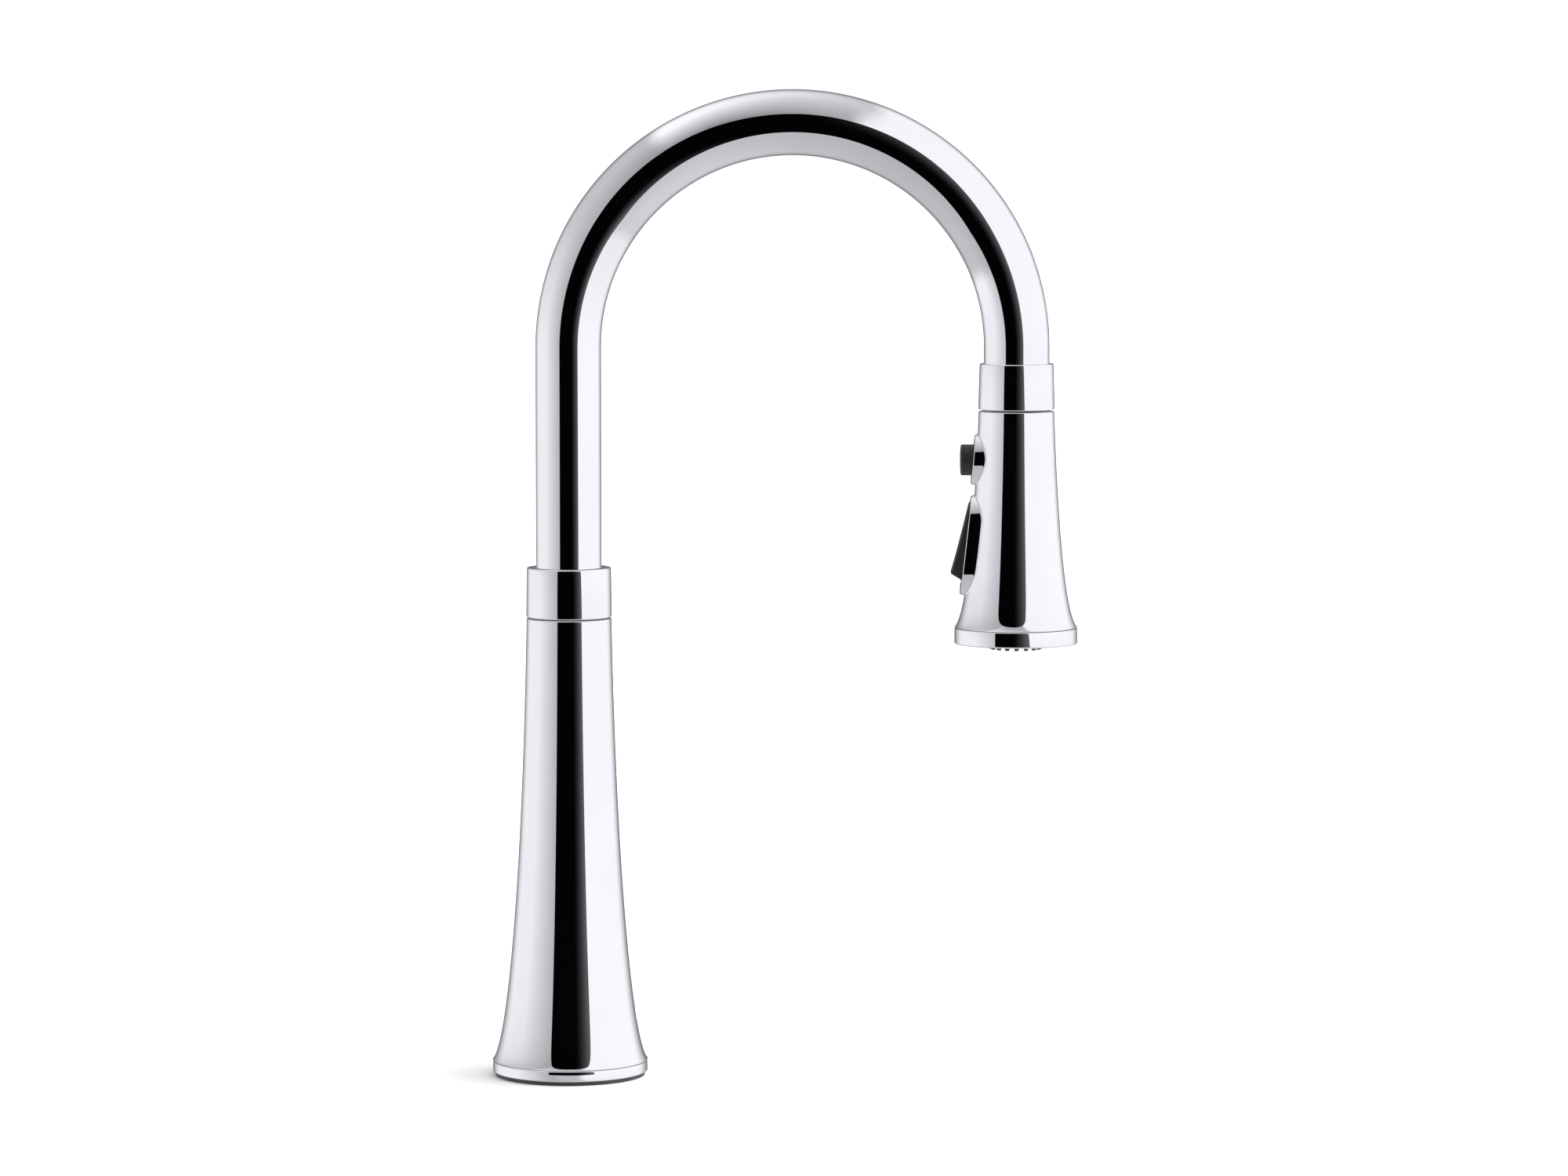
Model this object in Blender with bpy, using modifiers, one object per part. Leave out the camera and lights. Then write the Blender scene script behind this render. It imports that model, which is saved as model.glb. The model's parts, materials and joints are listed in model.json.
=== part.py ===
"""Pull-down kitchen faucet with one side lever, as an assembly of separate pieces.

Metres, +Z up. The origin is where the column's axis meets the deck. The spout reaches towards +X,
and the lever is on the +Y side. Turned pieces are profiles of (radius, height) pairs.
"""

import math

import bmesh
import bpy

CLEARANCE = 0.0003

# Spout: a tube bent to a half circle, turning on the column.
TUBE_RADIUS = 0.0150
TUBE_WALL = 0.0015
TUBE_SIDES = 16
ARCH_RADIUS = 0.10235
ARCH_STEPS = 20
ARCH_LIFT = 0.1228
OUTLET_DROP = 0.0260
COLLAR_WALL = 0.0043
COLLAR_HEIGHT = 0.0220
COLLAR_FLOOR = 0.0018
DOCK_COLLAR_HEIGHT = 0.0209
DOCK_COLLAR_WALL = 0.0016
DOCK_COLLAR_TAPER = 0.0006

# Column and what stands on the deck.
GASKET_HEIGHT = 0.0016
GASKET_INSET = 0.0014
BASE_RING_HEIGHT = 0.0048
BASE_RADIUS = 0.0357
COLUMN_HEIGHT = 0.2040
COLUMN_WALL = 0.0018
COLUMN_LIP = 0.0022
LIP_PLAY = 0.0007
SCREW_HEIGHT = 0.0280
SCREW_REACH = 0.0296
SCREW_RADIUS = 0.0020
SCREW_SOCKET = 0.0011
SWIVEL_GAP = 0.0014

# Water way, valve and deck fixing.
HOSE_RADIUS = 0.0060
HOSE_PLAY = 0.0030
INLET_RADIUS = 0.0032
INLET_BORE = 0.0022
INLET_LENGTH = 0.1350
SHANK_WALL = 0.0024
SHANK_DEPTH = 0.0780
DECK_THICKNESS = 0.0300
VALVE_PLAY = 0.00085
VALVE_HEADROOM = 0.0160
SKIRT_WALL = 0.0042
SKIRT_HEIGHT = 0.0330
SKIRT_TAPER = 0.0040
SHANK_SEAT = 0.0230
BUSH_WALL = 0.0017
BUSH_LENGTH = 0.0390
BUSH_FLANGE = 0.0022
ORING_SECTION = 0.0011
STUB_WALL = 0.0024
STUB_SHOULDER = 0.0008
STUB_TOP = 0.0276
STUB_TAIL = 0.0035
INLET_GAP = 0.0008
WASHER_WIDTH = 0.0107
NUT_WIDTH = 0.0120
NUT_THICKNESS = 0.0120
RUBBER_THICKNESS = 0.0030
STEEL_THICKNESS = 0.0018

# Lever side.
HUB_HEIGHT = 0.0900
CARTRIDGE_RADIUS = 0.0125
CARTRIDGE_LENGTH = 0.0197
POCKET_WALL = 0.0018
BOSS_WALL = 0.0022
SLEEVE_WALL = 0.0025
CAP_WALL = 0.0020
CAP_GAP = 0.0004
CAP_BOSS_RADIUS = 0.0085
CAP_BOSS_LENGTH = 0.0068
PIVOT_DEPTH = 0.0018
BOSS_RIM = 0.0012
STEM_RADIUS = 0.0034
STEM_FOOT = -0.0012
STEM_GRIP = 0.0040
THREAD_RADIUS = 0.0021
THREAD_LENGTH = 0.0080
CARTRIDGE_RECESS = 0.0043
CARTRIDGE_RIM = 0.0027
ROTOR_INSET = 0.0030
ROTOR_FOOT = -0.0040
ROTOR_TOP = 0.0055
SLOT_FLOOR = -0.0028
EYE_GAP = 0.0010
EYE_RIM = 0.0043
EYE_WALL = 0.0040
OPENING_ANGLE = math.radians(34)
CAP_ANGLE = math.radians(62)
LEVER_TILT = math.radians(20)
LEVER_LENGTH = 0.0980
LEVER_RADIUS = 0.0050
LEVER_TIP_RADIUS = 0.0038
LEVER_LEAN = 0.0100

# Spray head.
SPRAY_HEIGHT = 0.0990
SPRAY_RADIUS = 0.0281
SPRAY_WALL = 0.0015
DOCK_GAP = 0.0009
DOCK_FLOOR = 0.0021
SPRAY_STEP = 0.0002
GUIDE_RIM = 0.0009
NECK_TAPER = 0.0013
NUT_WALL = 0.0025
HOSE_GRIP = 0.0071
HOSE_BOTTOM = -0.1080
MAGNET_HEIGHT = 0.0040
RING_HEIGHT = 0.0072
RING_WIDTH = 0.0041
NECK_LENGTH = 0.0150
WATERWAY_RADIUS = 0.0080
BUTTON_DROP = 0.0223
BUTTON_RADIUS = 0.00715
BUTTON_REACH = 0.0258
BUTTON_FLANGE_REACH = 0.0118
BUTTON_FLANGE = 0.0008
SPRING_WIRE = 0.0003
SPRING_COIL = 0.0050
SPRING_TURNS = 2.5
BUTTON_BOSS_RADIUS = 0.0114
BUTTON_BOSS_REACH = 0.0199
BUTTON_BOSS_TILT = math.radians(4.8)
ROCKER_DROP = 0.0446
ROCKER_HINGE_REACH = 0.0192
ROCKER_HALF_WIDTH = 0.0075
ROCKER_LENGTH = 0.0331
ROCKER_RISE = 0.0086
ROCKER_TOP = 0.0033
ROCKER_CORNER = 0.0015
ROCKER_BOSS_HALF_WIDTH = 0.0120
ROCKER_BOSS_LENGTH = 0.0455
ROCKER_BOSS_REACH = 0.02325
ROCKER_BOSS_TILT = math.radians(6.4)
PIN_RADIUS = 0.0011
PIN_REACH = 0.0084
NOZZLES = 16
NOZZLE_RING = 0.0112
NOZZLE_LENGTH = 0.0026
PAD_RADIUS = 0.0128
AERATOR_RADIUS = 0.0073
FACE_DEPTH = 0.0010
FACE_THICKNESS = 0.0036
DIVERTER_THICKNESS = 0.0028

# Heights of the stack, from the deck up.
BASE_RING_FOOT = GASKET_HEIGHT + CLEARANCE
BASE_RING_TOP = BASE_RING_FOOT + BASE_RING_HEIGHT
COLUMN_FOOT = BASE_RING_TOP + CLEARANCE
COLUMN_TOP = COLUMN_FOOT + COLUMN_HEIGHT
COLLAR_FOOT = COLUMN_TOP + SWIVEL_GAP
ARCH_HEIGHT = COLLAR_FOOT + ARCH_LIFT
OUTLET_HEIGHT = ARCH_HEIGHT - OUTLET_DROP
REACH = 2 * ARCH_RADIUS

# Radii that follow from what fits inside what.
COLLAR_RADIUS = TUBE_RADIUS + CLEARANCE + COLLAR_WALL
COLUMN_RADIUS = COLLAR_RADIUS - 0.00015
TUBE_BORE = TUBE_RADIUS * math.cos(math.pi / TUBE_SIDES) - TUBE_WALL
STUB_HEAD_RADIUS = TUBE_BORE - CLEARANCE
STUB_RADIUS = STUB_HEAD_RADIUS - STUB_SHOULDER
STUB_BORE = STUB_RADIUS - STUB_WALL
BUSH_BORE = STUB_RADIUS + CLEARANCE
BUSH_RADIUS = BUSH_BORE + BUSH_WALL
VALVE_BORE = BUSH_RADIUS + CLEARANCE
CHANNEL_RADIUS = HOSE_RADIUS + HOSE_PLAY
VALVE_RADIUS = COLUMN_RADIUS - COLUMN_WALL - VALVE_PLAY
INLET_OFFSET = HOSE_RADIUS + INLET_GAP + INLET_RADIUS
SHANK_BORE = INLET_OFFSET + INLET_RADIUS + CLEARANCE
SHANK_RADIUS = SHANK_BORE + SHANK_WALL
SHANK_HOLE = SHANK_RADIUS + CLEARANCE
VALVE_FOOT = BASE_RING_TOP + CLEARANCE
SHANK_TOP = VALVE_FOOT + SHANK_SEAT - CLEARANCE
VALVE_TOP = COLUMN_TOP - VALVE_HEADROOM
BUSH_FOOT = VALVE_TOP - BUSH_LENGTH
STUB_FOOT = BUSH_FOOT - STUB_TAIL
COLLAR_SEAT = COLLAR_FOOT + COLLAR_FLOOR + CLEARANCE
TUBE_FOOT = COLLAR_SEAT + CLEARANCE

# Lever side, measured from the column's axis towards +Y.
POCKET_FLOOR = CHANNEL_RADIUS + POCKET_WALL
CARTRIDGE_TOP = POCKET_FLOOR + CLEARANCE + CARTRIDGE_LENGTH
PIVOT_REACH = CARTRIDGE_TOP - PIVOT_DEPTH
POCKET_RADIUS = CARTRIDGE_RADIUS + CLEARANCE
BOSS_RADIUS = POCKET_RADIUS + BOSS_WALL
BOSS_END = CARTRIDGE_TOP + BOSS_RIM
DOME_RADIUS = BOSS_RADIUS + CLEARANCE + SLEEVE_WALL
CAP_INNER = DOME_RADIUS + CAP_GAP
CAP_OUTER = CAP_INNER + CAP_WALL
STEM_END = CAP_INNER + STEM_GRIP
CAP_BOSS_END = CAP_INNER + CAP_BOSS_LENGTH
EYE_FOOT = CAP_OUTER + EYE_GAP
EYE_END = CAP_BOSS_END + EYE_RIM
EYE_RADIUS = CAP_BOSS_RADIUS + EYE_WALL

# Spray head, measured down from the mouth of the spout.
DOCK_COLLAR_RADIUS = TUBE_RADIUS + CLEARANCE + DOCK_COLLAR_WALL
DOCK_FOOT = OUTLET_HEIGHT - DOCK_FLOOR - CLEARANCE
SPRAY_TOP = DOCK_FOOT - DOCK_GAP
RING_TOP = SPRAY_TOP - SPRAY_HEIGHT - CLEARANCE
RING_FOOT = RING_TOP - RING_HEIGHT
RING_BORE = SPRAY_RADIUS - RING_WIDTH
SPRAY_TOP_RADIUS = DOCK_COLLAR_RADIUS + DOCK_COLLAR_TAPER - SPRAY_STEP
GUIDE_RADIUS = TUBE_BORE - CLEARANCE
NECK_BASE_RADIUS = GUIDE_RADIUS - GUIDE_RIM
NECK_TOP_RADIUS = NECK_BASE_RADIUS - NECK_TAPER
NECK_FOOT = SPRAY_TOP - SPRAY_WALL - CLEARANCE
NECK_TOP = NECK_FOOT + NECK_LENGTH
NECK_BORE = HOSE_RADIUS + 2 * CLEARANCE
NUT_RADIUS = HOSE_RADIUS + CLEARANCE + NUT_WALL
HOSE_END = NECK_FOOT - HOSE_GRIP
BUTTON_HEIGHT = SPRAY_TOP - BUTTON_DROP
ROCKER_HINGE_HEIGHT = SPRAY_TOP - ROCKER_DROP

CHROME = ("#DADCDE", 0.07, 1.0)
BRASS = ("#B89A55", 0.28, 1.0)
STEEL = ("#A9ABAD", 0.30, 1.0)
BLACK_RUBBER = ("#2B2B2C", 0.62, 0.0)
GREY_RUBBER = ("#4A4A4B", 0.60, 0.0)
CHARCOAL = ("#2F2F30", 0.42, 0.0)
BLACK_PLASTIC = ("#1E1E1F", 0.45, 0.0)
WHITE_PLASTIC = ("#D8D8D4", 0.42, 0.0)
GREY_PLASTIC = ("#86888A", 0.45, 0.0)
BRAID = ("#8E9092", 0.50, 0.0)
MAGNET = ("#505254", 0.35, 1.0)


def clear_scene():
    for old in list(bpy.data.objects):
        bpy.data.objects.remove(old)


def add_collection(name, hidden=False):
    group = bpy.data.collections.new(name)
    group.hide_render = hidden
    bpy.context.scene.collection.children.link(group)
    return group


def linear(hex_colour):
    """Turns an sRGB hex colour into Blender's linear RGBA."""
    shares = [int(hex_colour[i:i + 2], 16) / 255 for i in (1, 3, 5)]
    return [((s + 0.055) / 1.055) ** 2.4 if s > 0.04045 else s / 12.92 for s in shares] + [1.0]


def paint(obj, finish):
    colour, roughness, metallic = finish
    material = bpy.data.materials.new(obj.name)
    material.use_nodes = True
    shader = material.node_tree.nodes["Principled BSDF"]
    shader.inputs["Base Color"].default_value = linear(colour)
    shader.inputs["Roughness"].default_value = roughness
    shader.inputs["Metallic"].default_value = metallic
    material.diffuse_color = linear(colour)
    obj.data.materials.clear()
    obj.data.materials.append(material)
    return obj


def add_empty(name, place):
    empty = bpy.data.objects.new(name, None)
    empty.location = place
    PIECES.objects.link(empty)
    return empty


def add_object(name, mesh, place=(0, 0, 0), turn=(0, 0, 0), parent=None, group=None):
    obj = bpy.data.objects.new(name, mesh)
    obj.location = place
    obj.rotation_euler = turn
    obj.parent = parent
    (group or PIECES).objects.link(obj)
    if group is CUTTERS:
        obj.hide_render = True
        obj.display_type = "WIRE"
    return obj


def turned(name, outline, sides, **where):
    """A profile turned about the local Z axis: outer side from the top down, then the inside up."""
    shape = bmesh.new()
    corners = [shape.verts.new((radius, 0, height)) for radius, height in outline]
    for start, end in zip(corners, corners[1:]):
        shape.edges.new((start, end))
    if outline[0][0] > 0 and outline[-1][0] > 0:
        shape.edges.new((corners[-1], corners[0]))
    mesh = bpy.data.meshes.new(name)
    shape.to_mesh(mesh)
    shape.free()
    obj = add_object(name, mesh, **where)
    screw = obj.modifiers.new("Turn", "SCREW")
    screw.steps = screw.render_steps = sides
    screw.use_merge_vertices = True
    screw.merge_threshold = 0.00001
    return obj


def rod(name, radius, low, high, sides, **where):
    return turned(name, [(0, high), (radius, high), (radius, low), (0, low)], sides, **where)


def ring(name, radius, bore, low, high, sides, **where):
    outline = [(radius, high), (radius, low), (bore, low), (bore, high)]
    return turned(name, outline, sides, **where)


def block(name, size, **where):
    shape = bmesh.new()
    bmesh.ops.create_cube(shape, size=1)
    bmesh.ops.scale(shape, vec=size, verts=shape.verts)
    mesh = bpy.data.meshes.new(name)
    shape.to_mesh(mesh)
    shape.free()
    return add_object(name, mesh, **where)


def plate(name, outline, thickness, **where):
    """A flat outline in the local XY plane, thickened both ways along local Z."""
    curve = bpy.data.curves.new(name, "CURVE")
    curve.dimensions = "2D"
    curve.fill_mode = "BOTH"
    curve.extrude = thickness / 2
    spline = curve.splines.new("POLY")
    spline.points.add(len(outline) - 1)
    for point, (x, y) in zip(spline.points, outline):
        point.co = (x, y, 0, 1)
    spline.use_cyclic_u = True
    return as_mesh(add_object(name, curve, **where))


def tube_curve(name, route, radius, sides, caps=True, radii=None, **where):
    curve = bpy.data.curves.new(name, "CURVE")
    curve.dimensions = "3D"
    curve.bevel_depth = radius
    curve.bevel_resolution = (sides - 4) // 2
    curve.use_fill_caps = caps
    spline = curve.splines.new("POLY")
    spline.points.add(len(route) - 1)
    for index, place in enumerate(route):
        spline.points[index].co = (*place, 1)
        spline.points[index].radius = radii[index] / radius if radii else 1
    return add_object(name, curve, **where)


def as_mesh(curve_object):
    """Replaces a curve object with a mesh of the same shape, its caps welded on."""
    bpy.context.view_layer.update()
    evaluated = curve_object.evaluated_get(bpy.context.evaluated_depsgraph_get())
    mesh = bpy.data.meshes.new_from_object(evaluated)
    shape = bmesh.new()
    shape.from_mesh(mesh)
    bmesh.ops.remove_doubles(shape, verts=shape.verts, dist=0.000001)
    bmesh.ops.recalc_face_normals(shape, faces=shape.faces)
    shape.to_mesh(mesh)
    shape.free()
    name = curve_object.name
    groups = list(curve_object.users_collection)
    parent = curve_object.parent
    place = curve_object.location.copy()
    turn = curve_object.rotation_euler.copy()
    bpy.data.objects.remove(curve_object)
    return add_object(name, mesh, place=place, turn=turn, parent=parent, group=groups[0])


def combine(obj, other, operation):
    step = obj.modifiers.new(other.name, "BOOLEAN")
    step.operation = operation
    step.object = other


def cut(obj, cutter):
    combine(obj, cutter, "DIFFERENCE")


def join(obj, other):
    combine(obj, other, "UNION")


def arc(centre, radius, start, end, steps):
    """Points on a circle, from the start angle to the end angle, in radians."""
    angles = [start + (end - start) * i / steps for i in range(steps + 1)]
    return [(centre[0] + radius * math.cos(a), centre[1] + radius * math.sin(a)) for a in angles]


def bezier(start, leave, arrive, end, steps):
    points = []
    for i in range(steps + 1):
        t = i / steps
        shares = ((1 - t) ** 3, 3 * t * (1 - t) ** 2, 3 * t * t * (1 - t), t ** 3)
        corners = (start, leave, arrive, end)
        points.append(tuple(sum(s * c[k] for s, c in zip(shares, corners)) for k in (0, 1)))
    return points


def door_outline(half_width, top, foot, corner):
    """An upright outline of (height, side) points: a round top, and small corners at the foot."""
    outline = arc((top - half_width, 0), half_width, -math.pi / 2, math.pi / 2, 8)
    outline += arc((foot + corner, half_width - corner), corner, math.pi / 2, math.pi, 3)
    outline += arc((foot + corner, corner - half_width), corner, math.pi, 1.5 * math.pi, 3)
    return outline


def column_outline(steps=10):
    """The column's outside: nearly straight at the top, sweeping out to the foot."""
    top = (COLUMN_RADIUS, COLUMN_TOP)
    foot = (BASE_RADIUS, COLUMN_FOOT)
    leave = (COLUMN_RADIUS + 0.0020, COLUMN_TOP - 0.529 * COLUMN_HEIGHT)
    arrive = (BASE_RADIUS - 0.0075, COLUMN_FOOT + 0.049 * COLUMN_HEIGHT)
    return bezier(top, leave, arrive, foot, steps)


def spray_outline(steps=10):
    """The spray head's outside: slim at the dock, flaring to a crease above the ring."""
    foot_height = RING_TOP + CLEARANCE
    top = (SPRAY_TOP_RADIUS, SPRAY_TOP)
    foot = (SPRAY_RADIUS, foot_height)
    leave = (SPRAY_TOP_RADIUS + 0.0003, SPRAY_TOP - 0.060 * SPRAY_HEIGHT)
    arrive = (SPRAY_RADIUS - 0.0081, foot_height + 0.092 * SPRAY_HEIGHT)
    return bezier(top, leave, arrive, foot, steps)


def shell_profile(outside, wall, lip_bore, lip):
    """A thin shell with an inward lip at its top."""
    top = outside[0][1]
    inside = [(radius - wall, height) for radius, height in outside if height < top - lip - 0.001]
    return outside + inside[::-1] + [
        (outside[0][0] - wall, top - lip),
        (lip_bore, top - lip),
        (lip_bore, top),
    ]


def at_hub(**more):
    """Places a turned piece on the lever's axis, heights running out along +Y."""
    return dict(place=(0, 0, HUB_HEIGHT), turn=(-math.pi / 2, 0, 0), **more)


def build_base():
    paint(
        ring("base_gasket", BASE_RADIUS - GASKET_INSET, SHANK_HOLE, 0, GASKET_HEIGHT, 36),
        GREY_RUBBER,
    )
    side = BASE_RADIUS - 0.0001
    outline = [
        (side, BASE_RING_TOP),
        (side, BASE_RING_FOOT + 0.0022),
        (side - 0.0005, BASE_RING_FOOT),
        (SHANK_HOLE, BASE_RING_FOOT),
        (SHANK_HOLE, BASE_RING_TOP),
    ]
    paint(turned("base_ring", outline, 36), CHROME)


def build_column():
    outline = shell_profile(column_outline(), COLUMN_WALL, STUB_RADIUS + LIP_PLAY, COLUMN_LIP)
    shell = turned("column_shell", outline, 36)
    hub_hole = rod(
        "hub_hole", BOSS_RADIUS + CLEARANCE, 0.006, 0.060, 32, **at_hub(group=CUTTERS)
    )
    cut(shell, hub_hole)
    aside = dict(place=(0, 0, SCREW_HEIGHT), turn=(0, math.pi / 2, 0))
    screw_hole = rod(
        "shell_screw_hole", SCREW_RADIUS + 0.0004, 0.020, 0.045, 12, group=CUTTERS, **aside
    )
    cut(shell, screw_hole)
    paint(shell, CHROME)
    screw_foot = SHANK_HOLE + SKIRT_WALL + CLEARANCE
    socket_floor = SCREW_REACH - 0.0020
    outline = [
        (0, socket_floor),
        (SCREW_SOCKET, socket_floor),
        (SCREW_SOCKET, SCREW_REACH),
        (SCREW_RADIUS, SCREW_REACH),
        (SCREW_RADIUS, screw_foot),
        (0, screw_foot),
    ]
    paint(turned("shell_screw", outline, 12, **aside), STEEL)


def build_valve_body():
    skirt_radius = SHANK_HOLE + SKIRT_WALL
    skirt_top = VALVE_FOOT + SKIRT_HEIGHT
    seat = VALVE_FOOT + SHANK_SEAT
    channel_top = STUB_FOOT - 5 * CLEARANCE
    outline = [
        (VALVE_RADIUS, VALVE_TOP),
        (VALVE_RADIUS, skirt_top + SKIRT_TAPER),
        (skirt_radius, skirt_top),
        (skirt_radius, VALVE_FOOT),
        (SHANK_HOLE, VALVE_FOOT),
        (SHANK_HOLE, seat),
        (CHANNEL_RADIUS, seat),
        (CHANNEL_RADIUS, channel_top),
        (VALVE_BORE, channel_top),
        (VALVE_BORE, VALVE_TOP),
    ]
    body = turned("valve_body", outline, 32)
    boss = rod(
        "valve_boss", BOSS_RADIUS, CHANNEL_RADIUS + 2 * CLEARANCE, BOSS_END, 28,
        **at_hub(group=CUTTERS)
    )
    pocket = rod(
        "cartridge_pocket", POCKET_RADIUS, POCKET_FLOOR, BOSS_END + 0.01, 28,
        **at_hub(group=CUTTERS)
    )
    join(body, boss)
    cut(body, pocket)
    paint(body, BRASS)


def build_deck_fixing():
    shank = ring("mounting_shank", SHANK_RADIUS, SHANK_BORE, -SHANK_DEPTH, SHANK_TOP, 28)
    paint(shank, BRASS)
    top = -DECK_THICKNESS - CLEARANCE
    rubber_foot = top - RUBBER_THICKNESS
    steel_top = rubber_foot - CLEARANCE
    steel_foot = steel_top - STEEL_THICKNESS
    nut_top = steel_foot - CLEARANCE
    washer_radius = SHANK_HOLE + WASHER_WIDTH
    paint(ring("deck_washer", washer_radius, SHANK_HOLE, rubber_foot, top, 28), BLACK_RUBBER)
    paint(ring("steel_washer", washer_radius, SHANK_HOLE, steel_foot, steel_top, 28), STEEL)
    nut_foot = nut_top - NUT_THICKNESS
    nut = rod(
        "mounting_nut", SHANK_HOLE + NUT_WIDTH, nut_foot, nut_top, 6, turn=(0, 0, math.radians(30))
    )
    bore = rod("nut_bore", SHANK_HOLE, nut_foot - 0.01, nut_top + 0.01, 28, group=CUTTERS)
    cut(nut, bore)
    screw_offset = SHANK_HOLE + 0.0045
    head_top = nut_foot - 0.008
    head_foot = nut_foot - 0.012
    head_radius = 0.0042
    for side, name in ((1, "clamp_screw_front"), (-1, "clamp_screw_back")):
        place = (side * screw_offset, 0, 0)
        hole = rod(
            name + "_hole", SCREW_RADIUS + 0.0004, nut_foot - 0.01, nut_top + 0.01, 12,
            place=place, group=CUTTERS,
        )
        cut(nut, hole)
        outline = [
            (0, nut_top),
            (SCREW_RADIUS, nut_top),
            (SCREW_RADIUS, head_top),
            (head_radius, head_top),
            (head_radius, head_foot),
            (0, head_foot),
        ]
        paint(turned(name, outline, 12, place=place), STEEL)
    paint(nut, BRASS)
    for side, name in ((1, "hot_inlet"), (-1, "cold_inlet")):
        pipe = ring(
            name, INLET_RADIUS, INLET_BORE, SHANK_TOP - INLET_LENGTH, SHANK_TOP, 12,
            place=(side * INLET_OFFSET, 0, 0),
        )
        paint(pipe, BRASS)


def build_lever_seat():
    """The fixed pieces on the lever's axis: sleeve, cartridge and its nut."""
    foot = 0.0100
    inner_radius = DOME_RADIUS - 0.0020
    opening = inner_radius * math.sin(OPENING_ANGLE)
    opening_height = PIVOT_REACH + inner_radius * math.cos(OPENING_ANGLE)
    bore = BOSS_RADIUS + CLEARANCE
    dome = arc((0, PIVOT_REACH), DOME_RADIUS, math.pi / 2 - OPENING_ANGLE, 0, 5)
    outline = dome + [
        (DOME_RADIUS, foot),
        (bore, foot),
        (bore, BOSS_END + 2 * CLEARANCE),
        (opening, opening_height),
    ]
    sleeve = turned("cartridge_sleeve", outline, 28, **at_hub())
    wrap = [(radius + CLEARANCE, height) for radius, height in column_outline()]
    column_cutter = turned(
        "column_cutter", [(0, COLUMN_TOP)] + wrap + [(0, COLUMN_FOOT)], 36, group=CUTTERS
    )
    cut(sleeve, column_cutter)
    paint(sleeve, CHROME)

    recess = PIVOT_REACH - CARTRIDGE_RECESS
    recess_radius = CARTRIDGE_RADIUS - CARTRIDGE_RIM
    outline = [
        (0, recess),
        (recess_radius, recess),
        (recess_radius, CARTRIDGE_TOP),
        (CARTRIDGE_RADIUS, CARTRIDGE_TOP),
        (CARTRIDGE_RADIUS, POCKET_FLOOR + CLEARANCE),
        (0, POCKET_FLOOR + CLEARANCE),
    ]
    paint(turned("cartridge", outline, 24, **at_hub()), GREY_PLASTIC)
    nut_foot = CARTRIDGE_TOP + CLEARANCE
    nut = ring(
        "cartridge_nut", CARTRIDGE_RADIUS, CARTRIDGE_RADIUS - 0.0023, nut_foot, nut_foot + 0.0038,
        24, **at_hub()
    )
    paint(nut, BRASS)


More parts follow.
